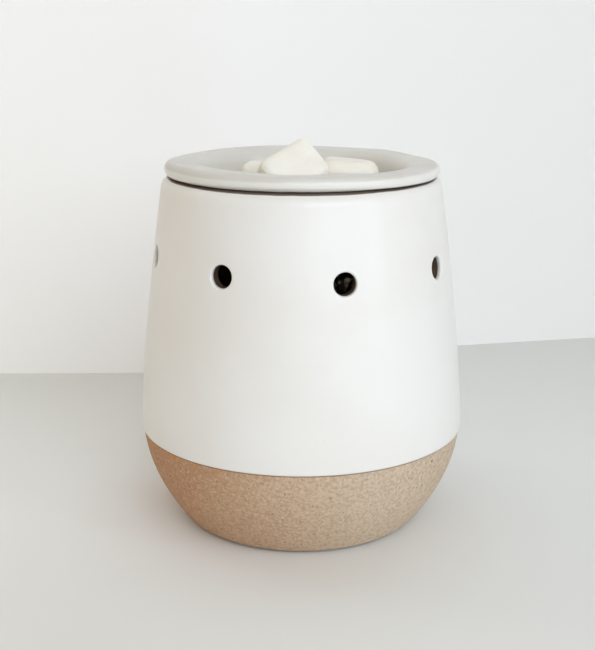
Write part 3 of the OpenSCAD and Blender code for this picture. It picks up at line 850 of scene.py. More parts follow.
@dataclass(frozen=True)
class Spangle(Finish):
    """Zinc-coated sheet: large crystals in two tones under a thin dull film."""

    dull: Colour

    def dress(self, board: Board, shader: Node, effects: Effects) -> None:
        """Wires crystals, rolling lines and dust; see Finish.dress."""
        here = board.here()
        shade, lustre, _ = board.split(board.cells(here, 190.0).outputs["Color"], "Color")
        tone = board.tint(self.base, self.dull, shade, 0.7)
        dust = board.mask(effects.dust, here, Scale=150.0, Amount=0.25)
        tone = board.mix(dust, tone, SHEET_DUST)
        board.fill(shader, {
            "Base Color": tone,
            "Metallic": board.math("SUBTRACT", 0.95, dust),
            "Roughness": board.math("ADD", board.times(lustre, 0.2), self.rough)})
        lines = board.effect(effects.brushed, Place=here, Scale=900.0, Length=0.06)
        self.raise_grain(board, shader, lines.outputs["Height"], 0.015)


@dataclass(frozen=True)
class Fibre(Finish):
    """Pressed fibre sheet: short crossed strands and dark flecks."""

    fleck: Colour

    def dress(self, board: Board, shader: Node, effects: Effects) -> None:
        """Wires strands and flecks; see Finish.dress."""
        here = board.here()
        along_x = board.effect(effects.brushed, Place=here, Scale=1600.0, Length=0.2)
        turned_here = board.mapped(here, Rotation=(0, 0, math.radians(67)))
        across = board.effect(effects.brushed, Place=turned_here, Scale=1600.0, Length=0.2)
        strands = board.math("MAXIMUM", along_x.outputs["Tone"], across.outputs["Tone"])
        tone = board.tint(self.base, self.fleck, strands, 0.5)
        flecks = board.mask(effects.specks, here, Scale=700.0, Size=0.3, Share=0.25)
        board.fill(shader, {
            "Base Color": board.tint(tone, self.fleck, flecks, 0.6),
            "Roughness": board.level(strands, self.rough, self.rough - 0.1)})
        self.raise_grain(board, shader, strands, 0.08)


@dataclass(frozen=True)
class Moulding(Finish):
    """Moulded plastic: eggshell surface, slight flow marks and dust."""

    flow: Colour

    def dress(self, board: Board, shader: Node, effects: Effects) -> None:
        """Wires flow marks, dust and surface; see Finish.dress."""
        here = board.here()
        flow = board.mask(effects.mottle, board.mapped(here, Scale=(1, 1, 0.3)),
                          Scale=120.0, Low=0.35, High=0.7)
        tone = board.tint(self.base, self.flow, flow, 0.6)
        dust = board.mask(effects.dust, here, Scale=260.0, Amount=0.22)
        board.fill(shader, {
            "Base Color": board.mix(dust, tone, PLASTIC_DUST),
            "Roughness": board.math("ADD", board.times(flow, 0.12), self.rough)})
        grain = board.mask(effects.grain, here, Scale=2200.0, Pits=0.1)
        self.raise_grain(board, shader, grain, 0.02)


@dataclass(frozen=True)
class Glass(Finish):
    """Pressed clear glass with faint ripples and a film of dust."""

    film: Colour

    def dress(self, board: Board, shader: Node, effects: Effects) -> None:
        """Wires ripples and film; see Finish.dress."""
        here = board.here()
        board.fill(shader, {
            "Transmission Weight": 1.0,
            "IOR": 1.47})
        film = board.mask(effects.mottle, here, Scale=90.0, Low=0.45, High=0.75)
        board.fill(shader, {
            "Base Color": board.tint(self.base, self.film, film, 0.25),
            "Roughness": board.level(film, self.rough, self.rough + 0.07)})
        self.raise_grain(board, shader, board.noise(here, 260.0, 2.0), 0.02)


@dataclass(frozen=True)
class Mirror(Finish):
    """Silvered glass: a bright coat that is dimpled and slightly yellowed by heat."""

    burnt: Colour

    def dress(self, board: Board, shader: Node, effects: Effects) -> None:
        """Wires dimples and heat tone; see Finish.dress."""
        here = board.here()
        heat = board.mask(effects.mottle, here, Scale=70.0, Low=0.4, High=0.75)
        board.fill(shader, {
            "Base Color": board.tint(self.base, self.burnt, heat, 0.4),
            "Metallic": 1.0,
            "Roughness": board.level(heat, self.rough, self.rough + 0.1)})
        cells = board.cells(here, 330.0, "SMOOTH_F1")
        self.raise_grain(board, shader, cells.outputs["Distance"], 0.2)


@dataclass(frozen=True)
class Backdrop(Finish):
    """Painted board or wall: faintly cloudy, painted shade to one side, a painted glow, clear from behind."""

    shade: Colour
    aside: Colour
    lean: Pair
    span: Pair
    painted_glow: float = 0.0

    def dress(self, board: Board, shader: Node, effects: Effects) -> None:
        """Wires cloudiness, painted shade, painted glow and the clear back; see Finish.dress."""
        here = board.here()
        cloud = board.mask(effects.mottle, here, Scale=2.5, Low=0.3, High=0.7)
        x, y, _ = board.split(here)
        # Painted shade: the tone darkens towards one side, along lean and over span.
        way = board.math("ADD", board.times(x, self.lean[0]), board.times(y, self.lean[1]))
        aside = board.remap(way, *self.span)
        tone = board.mix(cloud, self.base, self.shade)
        board.fill(shader, {
            "Base Color": board.mix(aside, tone, self.aside),
            "Roughness": self.rough,
            "Specular IOR Level": 0.15})
        # Painted glow: camera rays see an emission that fades out towards the shaded side.
        seen = board.node("ShaderNodeLightPath").outputs["Is Camera Ray"]
        board.fill(shader, {
            "Emission Color": self.base,
            "Emission Strength": board.times(seen, board.level(aside, self.painted_glow, 0.0))})
        from_behind = board.times(board.node("ShaderNodeNewGeometry").outputs["Backfacing"], seen)
        one_sided = board.node("ShaderNodeMixShader")
        clear = board.node("ShaderNodeBsdfTransparent").outputs[0]
        board.join(one_sided, from_behind, shader.outputs[0], clear)
        board.feed(board.tree.nodes["Material Output"].inputs["Surface"], one_sided.outputs[0])


# The white glaze's second band is painted shadow: a dark brown ring on the lip top that darkens the gap under
# the dish.
WHITE_GLAZE = Glaze("White satin glaze", "white_glaze", srgb(240, 239, 236), 0.36, srgb(237, 235, 230),
                    srgb(196, 184, 166),
                    bands=(Band(36.0, 37.35, 0.4, 0.0, 0.6, srgb(206, 180, 146)),
                           Band(133.25, 140.0, 0.3, 0.0, 0.92, srgb(84, 60, 44))))
# The dish glaze's first band is painted light on the rim's outer face; its second band is painted shadow on
# the underside edge, darkening the gap over the shell.
DISH_GLAZE = Glaze("Soft grey-white glaze", "dish_glaze", srgb(220, 219, 213), 0.34, srgb(211, 209, 202),
                   srgb(176, 160, 140), coat=0.2, peel=0.09,
                   bands=(Band(134.4, 137.6, 0.9, 43.0, 0.85, srgb(237, 236, 230)),
                          Band(132.0, 134.4, 0.3, 43.0, 0.95, srgb(70, 50, 37))))
PORCELAIN = Glaze("Steatite porcelain", "porcelain", srgb(236, 231, 220), 0.45, srgb(226, 219, 205),
                  srgb(170, 150, 122), coat=0.0, peel=0.03, pin_share=0.15)
# Raw clay's second colour is painted shade for the darker, warmer side; its last colour is painted shade for
# the inside.
RAW_CLAY = RawClay("Raw speckled stoneware", "raw_stoneware", srgb(206, 188, 165), 0.9,
                   srgb(188, 141, 103), srgb(147, 113, 84), srgb(232, 214, 188), srgb(100, 69, 42),
                   srgb(204, 136, 72), srgb(50, 38, 29))
SOY_WAX = Wax("Ivory wax", "wax", srgb(248, 245, 236), 0.45, srgb(252, 251, 247), srgb(242, 237, 226))
GROMMET_RUBBER = Rubber("Grey grommet rubber", "grommet_rubber", srgb(206, 203, 196), 0.62,
                        srgb(186, 182, 174))
FOOT_RUBBER = Rubber("Black foot rubber", "foot_rubber", srgb(34, 33, 32), 0.72, srgb(70, 68, 65))
ZINC_SHEET = Spangle("Zinc-coated sheet", "zinc_sheet", srgb(205, 206, 205), 0.3, srgb(158, 161, 163))
SCREW_STEEL = Metal("Plated screw steel", "screw_steel", srgb(206, 204, 198), 0.28, srgb(150, 147, 140))
BRASS = Metal("Contact brass", "contact_brass", srgb(212, 176, 104), 0.26, srgb(150, 112, 60))
NICKEL = Metal("Nickel plate", "pin_nickel", srgb(214, 208, 198), 0.24, srgb(160, 152, 140), length=0.2)
TUNGSTEN = Metal("Drawn filament wire", "filament_metal", srgb(120, 118, 116), 0.4, srgb(70, 68, 66),
                 length=0.4, dust=0.0)
GASKET_FIBRE = Fibre("Grey gasket fibre", "fibre", srgb(118, 114, 108), 0.88, srgb(70, 67, 62))
PAD_FIBRE = Fibre("Pale heat pad", "heat_pad", srgb(214, 207, 192), 0.9, srgb(160, 150, 132))
BLOCK_PLASTIC = Moulding("Ivory block plastic", "block_plastic", srgb(226, 222, 208), 0.48,
                         srgb(212, 206, 188))
LEAD_BROWN = Moulding("Brown lead cover", "lead_brown", srgb(104, 66, 42), 0.44, srgb(84, 52, 33))
LEAD_BLUE = Moulding("Blue lead cover", "lead_blue", srgb(52, 96, 158), 0.44, srgb(40, 76, 130))
CLEAR_GLASS = Glass("Clear lamp glass", "clear_glass", srgb(250, 252, 250), 0.02, srgb(226, 226, 218))
SILVERED = Mirror("Silvered reflector", "reflector_glass", srgb(236, 234, 228), 0.12, srgb(222, 206, 170))
FINISHES = (WHITE_GLAZE, DISH_GLAZE, PORCELAIN, RAW_CLAY, SOY_WAX, GROMMET_RUBBER, FOOT_RUBBER, ZINC_SHEET,
            SCREW_STEEL, BRASS, NICKEL, TUNGSTEN, GASKET_FIBRE, PAD_FIBRE, BLOCK_PLASTIC, LEAD_BROWN,
            LEAD_BLUE, CLEAR_GLASS, SILVERED)


class Wardrobe:
    """Every finish as a material, found by the record's slot."""

    def __init__(self, effects: Effects) -> None:
        """Makes all materials, with the shared effects."""
        self.by_slot = {finish.slot: finish.material(effects) for finish in FINISHES}

    def dress_node(self, node: Piece, slot: str) -> None:
        """Gives a CAD node its finish.

        Args:
            node: The CAD node's object.
            slot: The record's material slot.
        """
        if not node.material_slots:
            node.data.materials.append(None)
        for place in node.material_slots:
            place.material = self.by_slot[slot]

    def dress_piece(self, piece: Piece, slot: str) -> None:
        """Gives a new piece the finish of its slot.

        Args:
            piece: The new piece.
            slot: The record's material slot.
        """
        piece.data.materials.clear()
        piece.data.materials.append(self.by_slot[slot])


# ---------------------------------------------------------------- the object's sub-assemblies


@dataclass
class Shell:
    """The dipped stoneware shell: raw clay below, glaze above, a ring of vents."""

    wardrobe: Wardrobe
    lip_z: float = 133.5
    foot_r: float = 45.8
    belly_r: float = 62.0
    belly_z: float = 40.6
    neck_r: float = 51.6
    taper: float = 1.3
    wall: float = 4.0
    shoulder_r: float = 4.5
    opening_r: float = 45.2
    lip_round: float = 1.2
    lip_h: float = 4.5
    foot_gap: float = 0.8
    foot_round: float = 1.2
    recess_r: float = 40.0
    floor_hole_r: float = 34.0
    floor_low: float = 6.4
    floor_top: float = 11.0
    floor_fillet: float = 5.0
    glaze_t: float = 0.5
    glaze_z: float = 37.3
    vent_z: float = 104.2
    vent_r: float = 4.2
    vent_first: float = -67.5
    vent_drifts: tuple[float, ...] = (-0.13, -0.12, -0.12, 0.05, -0.08, 0.1, 0.24, 0.2)
    vent_clear: float = 0.02
    vent_ring_r: float = 5.1
    vent_roll: tuple[Pair, ...] = (
        (4.65, 0.03), (4.42, 0.11), (4.25, 0.27), (4.14, 0.54), (4.1, 0.95), (4.14, 1.5), (4.3, 1.75))
    cutter_r: float = 56.0
    cutter_h: float = 40.0
    recess_round: float = 0.8
    outlet_z: float = 22.0
    outlet_r: float = 5.0
    outlet_key: float = 1.2
    outlet_reach: float = 12.0
    flange_r: float = 7.0
    spot: float = 0.7
    spot_clear: float = 0.3
    skin_t: float = 0.42
    steps: int = 256
    patch: int = 4
    patch_edge: float = 0.35
    row_h: float = 1.33

    def clay_r(self, z: float) -> float:
        """Outer radius of the clay at a height.

        Args:
            z: Height over the table.

        Returns:
            The radius.
        """
        if z <= self.belly_z:
            share = (z - self.foot_gap) / (self.belly_z - self.foot_gap)
            return self.foot_r + (self.belly_r - self.foot_r) * (1 - (1 - share) ** 2)
        share = (z - self.belly_z) / (self.lip_z - self.belly_z)
        return self.belly_r - (self.belly_r - self.neck_r) * share ** self.taper

    def vents(self) -> list[Pair]:
        """Direction of each vent in degrees, and how far its middle lies over the ring."""
        turn = 360 / len(self.vent_drifts)
        return [(self.vent_first + turn * i, self.vent_r * drift) for i, drift in enumerate(self.vent_drifts)]

    def wall_heights(self) -> list[float]:
        """Heights of the outline's points up the wall, close together at the vents."""
        reach = self.row_h * (self.patch + 2)
        low, high = self.vent_z - reach, self.vent_z + reach
        heights = along(self.glaze_z + 2.5, low, 22)[:-1]
        heights += [self.vent_z + self.row_h * i for i in range(-self.patch - 2, self.patch + 3)]
        return heights + along(high, self.lip_z - self.shoulder_r, 7)[1:-1]

    def shoulder(self, out: float) -> Outline:
        """The rounded shoulder and lip of the outline.

        Args:
            out: How far it stands off the clay.

        Returns:
            The outline's points, from outside to inside.
        """
        top = self.lip_z - self.shoulder_r
        lip = self.lip_round
        outer = arc(self.clay_r(top) - self.shoulder_r, top, self.shoulder_r + out, 0, 90, 12)
        return outer + arc(self.opening_r + lip, self.lip_z - lip, lip + out, 90, 180, 6)

    def build(self) -> list[Piece]:
        """Builds and dresses the shell's pieces.

        Returns:
            The clay and the glaze.
        """
        clay = self.build_clay()
        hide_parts("stoneware_body")
        self.wardrobe.dress_piece(clay, RAW_CLAY.slot)
        glaze = self.build_glaze()
        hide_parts("glaze_coat")
        self.wardrobe.dress_piece(glaze, WHITE_GLAZE.slot)
        return [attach(piece, "shell") for piece in (clay, glaze)]

    def build_clay(self) -> Piece:
        """Turns the clay and cuts its vents and its cord outlet.

        Returns:
            The clay piece.
        """
        low_lip = self.lip_z - self.lip_round - self.lip_h
        inner_low = self.floor_top + self.floor_fillet
        outer = [(self.clay_r(z), z) for z in along(self.foot_gap + self.foot_round, self.belly_z, 26)]
        outer += [(self.clay_r(z), z) for z in along(self.belly_z, self.lip_z - self.shoulder_r, 40)[1:-1]]
        inner = [(self.clay_r(z) - self.wall, z) for z in along(low_lip - self.lip_h, inner_low, 30)]
        fillet_x = self.clay_r(inner_low) - self.wall - self.floor_fillet
        soft, inset = self.foot_round, self.recess_round
        foot = arc(self.foot_r - soft, self.foot_gap + soft, soft, -90, -10, 5)
        ring = arc(self.recess_r + inset, self.foot_gap + inset, inset, 180, 270, 4)
        outline = (ring + foot + outer + self.shoulder(0) + [(self.opening_r, low_lip)] + inner
                   + arc(fillet_x, inner_low, self.floor_fillet, 0, -90, 8)[1:]
                   + [(self.floor_hole_r, self.floor_top), (self.floor_hole_r, self.floor_low),
                      (self.recess_r, self.floor_low), ring[0]])
        clay = turned("stoneware_pot", outline, 192)
        half = self.cutter_h / 2
        for azimuth, drift in self.vents():
            cutter = round_block("vent_cutter", self.vent_r + self.vent_clear, -half, half, 48)
            middle = Vector((self.cutter_r, 0, self.vent_z + drift)) * MM
            placed(cutter, Matrix.Rotation(math.radians(azimuth), 4, "Z") @ Matrix.Translation(middle)
                   @ Matrix.Rotation(math.pi / 2, 4, "Y"))
            cut_away(clay, cutter)
        cut_away(clay, self.outlet_cutter(self.outlet_r, -self.outlet_reach))
        cut_away(clay, self.outlet_cutter(self.flange_r + self.spot_clear, -self.spot))
        return smoothed(clay, 40)

    def outlet_place(self) -> Matrix:
        """Place of the cord outlet, with +Z out of the sloping wall."""
        tall = self.belly_z - self.foot_gap
        slope = 2 * (self.belly_r - self.foot_r) / tall * (1 - (self.outlet_z - self.foot_gap) / tall)
        return (Matrix.Translation(Vector((0, self.clay_r(self.outlet_z), self.outlet_z)) * MM)
                @ Matrix.Rotation(-math.pi / 2 - math.atan(slope), 4, "X"))

    def outlet_cutter(self, radius: float, low: float) -> Piece:
        """An oval block at the cord outlet.

        Args:
            radius: Half its height.
            low: Its inner end, along the outlet's axis.

        Returns:
            The block.
        """
        block = round_block("outlet_cutter", radius, low, self.outlet_reach, 64)
        with editing(block):
            pick_all()
            scale_picked((radius + self.outlet_key) / radius, 1, 1)
        return placed(block, self.outlet_place())

    def build_glaze(self) -> Piece:
        """Turns the glaze, opens its vents with soft rolled edges and gives it its thickness.

        Returns:
            The glaze piece.
        """
        line, coat = self.glaze_z, self.glaze_t
        bead = [(-0.15, 0.12), (0.16, -0.03), (0.36, 0.1), (0.49, 0.38), (0.52, 0.9), (coat, 1.7)]
        outline = [(self.clay_r(line + up) + out, line + up) for out, up in bead]
        outline += [(self.clay_r(z) + coat, z) for z in self.wall_heights()]
        outline += self.shoulder(coat) + [(self.opening_r - coat, self.lip_z - self.lip_round - self.lip_h)]
        glaze = turned("dipped_glaze", outline, self.steps)
        with editing(glaze):
            bpy.ops.mesh.normals_make_consistent(inside=False)
        for azimuth, drift in self.vents():
            self.open_vent(glaze, azimuth, drift)
        apply(glaze, "SOLIDIFY", thickness=self.skin_t * MM, offset=-1.0, use_even_offset=False)
        return smoothed(glaze, 60)

    def open_vent(self, glaze: Piece, azimuth: float, drift: float) -> None:
        """Opens one vent in the turned glaze and rolls its edge into the wall.

        Args:
            glaze: The glaze's open skin.
            azimuth: Direction of the vent in degrees.
            drift: Height of the hole's middle over the ring.
        """
        out = Vector((math.cos(math.radians(azimuth)), math.sin(math.radians(azimuth)), 0))
        side = Vector((-out.y, out.x, 0))
        faces = self.patch + self.patch_edge
        reach_side = math.sin(math.radians(360 / self.steps * faces)) * self.clay_r(self.vent_z)
        reach_up = self.row_h * faces

        def in_patch(place: Vector) -> bool:
            """Whether a face's middle lies in the vent's square of faces."""
            return (place.dot(out) > 0 and abs(place.dot(side)) < reach_side
                    and abs(place.z - self.vent_z) < reach_up)

        with editing(glaze, Pick.FACES):
            choose(glaze, in_patch, Pick.FACES)
            bpy.ops.mesh.delete(type="FACE")
            bpy.ops.mesh.select_mode(type="VERT")
            mesh = bmesh.from_edit_mesh(glaze.data)
            ring = [v for v in mesh.verts if v.is_boundary and in_patch(v.co / MM)]
            rise = self.vent_z + drift
            middle = (out * (self.clay_r(rise) + self.glaze_t) + Vector((0, 0, rise))) * MM
            for vert in ring:
                vert.select = True
            mesh.select_flush(True)
            bmesh.update_edit_mesh(glaze.data)
            self.shape_ring(glaze, ring, middle, out, side, self.vent_ring_r)
            depth = 0.0
            for radius, sink in self.vent_roll:
                step = -out * (sink - depth) * MM
                bpy.ops.mesh.extrude_region_move(TRANSFORM_OT_translate={"value": step})
                mesh = bmesh.from_edit_mesh(glaze.data)
                ring = [v for v in mesh.verts if v.select]
                depth = sink
                self.shape_ring(glaze, ring, middle, out, side, radius)

    def shape_ring(self, glaze: Piece, ring: list[bmesh.types.BMVert], middle: Vector,
                   out: Vector, side: Vector, radius: float) -> None:
        """Makes the selected ring round, at a radius from the vent's axis.

        Args:
            glaze: The glaze in edit mode.
            ring: The ring's vertices.
            middle: A point on the vent's axis, in metres.
            out: The axis, pointing out.
            side: The direction to the side.
            radius: The ring's radius.
        """
        for vert in ring:
            local = vert.co - middle
            across, up = local.dot(side), local.z
            far = math.hypot(across, up)
            scale = radius * MM / far
            before = math.hypot(vert.co.x, vert.co.y)
            place = vert.co + side * across * (scale - 1) + Vector((0, 0, up * (scale - 1)))
            wall = self.clay_r(place.z / MM) - self.clay_r(vert.co.z / MM)
            bend = (math.sqrt(max(before ** 2 - (across * scale) ** 2, 0))
                    - math.sqrt(max(before ** 2 - across ** 2, 0)))
            vert.co = place + out * (bend + wall * MM)
        bmesh.update_edit_mesh(glaze.data)


def wave(parts: Sequence[Triple], azimuth: float) -> float:
    """A sum of waves round the axis: waves per turn, share and phase in degrees of each."""
    return sum(share * math.cos(math.radians(count * azimuth - phase)) for count, share, phase in parts)


@dataclass(frozen=True)
class Press:
    """A soft push that a hand left in the rim, in degrees and millimetres."""

    azimuth: float
    width: float
    up: float

    def share(self, azimuth: float) -> float:
        """How much of the push reaches a direction."""
        away = (azimuth - self.azimuth + 180) % 360 - 180
        return math.exp(-(away / self.width) ** 2)


@dataclass(frozen=True)
class Station:
    """A point of the dish's outline and how much of each wave reaches it."""

    r: float
    z: float
    out: float = 0.0
    up: float = 0.0
    low: float = 0.0


@dataclass
class Dish:
    """The lift-off glazed dish: a soft uneven rim over a smooth bowl."""

    wardrobe: Wardrobe
    crest_r: float = 48.95
    edge_w: float = 2.15
    rim_h: float = 4.9
    rim_lift: float = 0.2
    seat_z: float = 134.0
    seat_out_r: float = 48.9
    seat_in_r: float = 44.4
    depth: float = 17.0
    thick: float = 3.4
    foot_r: float = 28.5
    foot_round: float = 5.0
    bowl_round: float = 8.0
    flank_r: float = 38.2
    flank_down: float = 8.1
    slope_far: float = 2.4
    slope_near: float = 0.7
    ledge: float = 2.0
    wave_out: float = 0.5
    wave_up: float = 0.75
    wave_low: float = 0.4
    out_waves: tuple[Triple, ...] = ((1, 0.24, 7), (2, 0.58, -14), (3, 1, -45))
    up_waves: tuple[Triple, ...] = ((1, 1, -132), (2, 0.36, 149), (3, 0.13, -58), (4, 0.24, 140))
    low_waves: tuple[Triple, ...] = ((1, 0.32, -110), (2, 1, 157), (3, 0.24, 105))
    presses: tuple[Press, ...] = (Press(-68, 12, 0.2), Press(-46, 10, -0.25), Press(-111, 10, 0.17),
                                  Press(-93, 8, -0.15), Press(56, 9, 0.33), Press(33, 9, -0.35))
    well: tuple[tuple[float, float, float, float], ...] = (
        (47.9, 0.0, 0.63, 1.0), (46.8, 0.0, 0.58, 1.0), (45.4, 0.02, 0.52, 0.98), (43.8, 0.05, 0.45, 0.95),
        (42.4, 0.12, 0.4, 0.9), (41.2, 0.28, 0.36, 0.85), (40.3, 0.55, 0.33, 0.8), (39.5, 1.0, 0.3, 0.75),
        (38.8, 1.6, 0.25, 0.6), (38.2, 2.4, 0.2, 0.45), (37.7, 3.4, 0.12, 0.3), (37.35, 4.5, 0.06, 0.12),
        (37.1, 5.8, 0.0, 0.0), (36.8, 7.6, 0.0, 0.0), (36.2, 10.0, 0.0, 0.0))

    def stations(self) -> list[Station]:
        """The dish's outline, from the middle of its underside round to the middle of the bowl."""
        base = self.seat_z - self.depth
        floor = base + self.thick
        top = self.seat_z + self.rim_h
        under = [(0.0, base), (self.foot_r / 2, base), (self.foot_r, base)]
        under += arc(self.foot_r, base + self.foot_round, self.foot_round, -72, -30, 6)
        under += [(self.flank_r, self.seat_z - self.flank_down)]
        slope = (self.slope_far, self.slope_near, 0)
        under += [(self.seat_in_r - down, self.seat_z - down) for down in slope]
        under += [(self.seat_out_r - self.ledge, self.seat_z), (self.seat_out_r, self.seat_z)]
        edge = []
        for angle in along(-66, 90, 16):
            share = (1 + math.sin(math.radians(angle))) / 2
            edge.append(Station(self.crest_r + self.edge_w * math.cos(math.radians(angle)),
                                self.seat_z + self.rim_lift + (self.rim_h - self.rim_lift) * share,
                                (1 + share) / 2, share, 1 - share))
        well = [Station(r, top - down, out, up) for r, down, out, up in self.well]
        bowl = arc(self.foot_r - self.thick / 3, floor + self.bowl_round, self.bowl_round, -20, -88, 10)
        bowl += [(self.foot_r / 2, floor), (0.0, floor)]
        return [Station(r, z) for r, z in under] + edge + well + [Station(r, z) for r, z in bowl]

    def build(self) -> list[Piece]:
        """Builds and dresses the dish.

        Returns:
            The dish alone, in a list.
        """
        stations = self.stations()
        dish = turned("glazed_dish", [(point.r, point.z) for point in stations], 288)
        self.press_rim(dish, stations)
        smoothed(dish, 60)
        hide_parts("dish")
        self.wardrobe.dress_piece(dish, DISH_GLAZE.slot)
        return [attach(dish, "dish")]

    def press_rim(self, dish: Piece, stations: Sequence[Station]) -> None:
        """Lets the hand-made waves and presses into the rim.

        Args:
            dish: The turned dish.
            stations: The points that its outline was drawn through.
        """
        for vert in dish.data.vertices:
            x, y, z = vert.co / MM
            r = math.hypot(x, y)
            near = min(stations, key=lambda point: (point.r - r) ** 2 + (point.z - z) ** 2)
            if near.out + near.up + near.low == 0:
                continue
            azimuth = math.degrees(math.atan2(y, x))
            out = self.wave_out * wave(self.out_waves, azimuth)
            pushed = sum(press.up * press.share(azimuth) for press in self.presses)
            up = self.wave_up * wave(self.up_waves, azimuth) + pushed
            low = self.wave_low * wave(self.low_waves, azimuth)
            grow = 1 + out * near.out / r
            vert.co = Vector((x * grow, y * grow, z + up * near.up + low * near.low)) * MM
        dish.data.update()


@dataclass(frozen=True)
class Melt:
    """One wax melt: its name, size, middle and how it lies: lean back, lean aside and turn."""

    name: str
    replaces: str
    size: Triple
    middle: Triple
    turn: Triple
    seed: int


@dataclass
class WaxMelts:
    """The three wax melts in the dish."""

    wardrobe: Wardrobe
    rounding: float = 3.8
    draft: float = 1.4
    shrink: float = 0.05
    uneven: float = 0.3
    melts: tuple[Melt, ...] = (
        Melt("wax_cube_front", "wax_melt_front", (22, 17, 20), (-0.88, -14.98, 135.72), (-25, -35, 14.5), 3),
        Melt("wax_cube_left", "wax_melt_left", (22, 20, 17), (-14.48, 7.39, 129.46), (1.3, 0.6, 98), 7),
        Melt("wax_cube_right", "wax_melt_right", (22, 20, 17), (17.12, 12.52, 129.87), (0, 2, 5), 11))

    def build(self) -> list[Piece]:
        """Builds and dresses the three melts."""
        return [self.build_melt(melt) for melt in self.melts]

    def build_melt(self, melt: Melt) -> Piece:
        """Casts one melt: a block whose sides draw in, with soft edges and slightly uneven faces.

        Args:
            melt: The melt's size and place.

        Returns:
            The melt, in its place.
        """
        bpy.ops.mesh.primitive_cube_add(size=1, location=(0, 0, 0))
        block = added(melt.name)
        length, width, height = (side - self.shrink for side in melt.size)
        with editing(block):
            pick_all()
            scale_picked(length * MM, width * MM, height * MM)
            choose(block, lambda p: p.x > 0)
            scale_picked(1, 1 - 2 * self.draft / width, 1 - 2 * self.draft / height)
            pick_all()
            bpy.ops.mesh.bevel(offset=self.rounding * MM, segments=4, profile=0.5, affect="EDGES")
            pick_all()
            bpy.ops.mesh.subdivide(number_cuts=4, smoothness=0)
            bpy.ops.transform.vertex_random(offset=self.uneven * MM, uniform=0.0, normal=0.6, seed=melt.seed)
            pick_all()
            bpy.ops.mesh.vertices_smooth(factor=0.5, repeat=4)
        apply(block, "SUBSURF", levels=2, render_levels=2)
        smoothed(block, 60)
        back, aside, turn = (math.radians(value) for value in melt.turn)
        placed(block, Matrix.Translation(Vector(melt.middle) * MM) @ Matrix.Rotation(turn, 4, "Z")
               @ Matrix.Rotation(back, 4, "X") @ Matrix.Rotation(aside, 4, "Y"))
        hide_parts(melt.replaces)
        self.wardrobe.dress_piece(block, SOY_WAX.slot)
        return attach(block, "wax")


@dataclass
class Outlet:
    """The oval rubber grommet in the rear wall."""

    wardrobe: Wardrobe
    shell: Shell
    bore_r: float = 3.1
    flange_t: float = 1.6
    neck: float = 2.939
    clear: float = 0.1
    edge: float = 0.6
    bevel: float = 0.3
    mouth: float = 0.9
    mouth_step: float = 0.25
    keyed_from: float = 1.2

    def build(self) -> list[Piece]:
        """Builds and dresses the grommet.

        Returns:
            The grommet alone, in a list.
        """
        flange, hole, bore = self.shell.flange_r, self.shell.outlet_r - self.clear, self.bore_r
        top, edge = -self.shell.spot, self.edge
        low = top - self.neck
        inside, outside = low - self.flange_t, top + self.flange_t
        outline = [(bore, inside + self.bevel), (bore + self.bevel, inside)]
        outline += arc(flange - edge, inside + edge, edge, -90, 0, 4)
        outline += [(flange, low), (hole, low), (hole, top), (flange, top)]
        outline += arc(flange - edge, outside - edge, edge, 0, 90, 4)
        outline += [(bore + self.mouth, outside), (bore + self.mouth_step, outside - self.mouth_step),
                    (bore, outside - self.mouth), (bore, inside + self.bevel)]
        grommet = turned("outlet_grommet", outline, 96)
        stretch = (flange + self.shell.outlet_key) / flange
        with editing(grommet):
            choose(grommet, lambda p: math.hypot(p.x, p.y) > self.bore_r + self.keyed_from)
            scale_picked(stretch, 1, 1)
        smoothed(grommet, 40)
        placed(grommet, self.shell.outlet_place())
        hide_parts("cord_grommet")
        self.wardrobe.dress_piece(grommet, GROMMET_RUBBER.slot)
        return [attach(grommet, "shell")]


@dataclass(frozen=True)
class Lamp:
    """A soft lamp: degrees to the right of the camera, then metres, watts and colour."""

    name: str
    azimuth: float
    height: float
    far: float
    size: Pair
    power: float
    colour: Triple
    aim: Triple = (0, 0, 0.08)


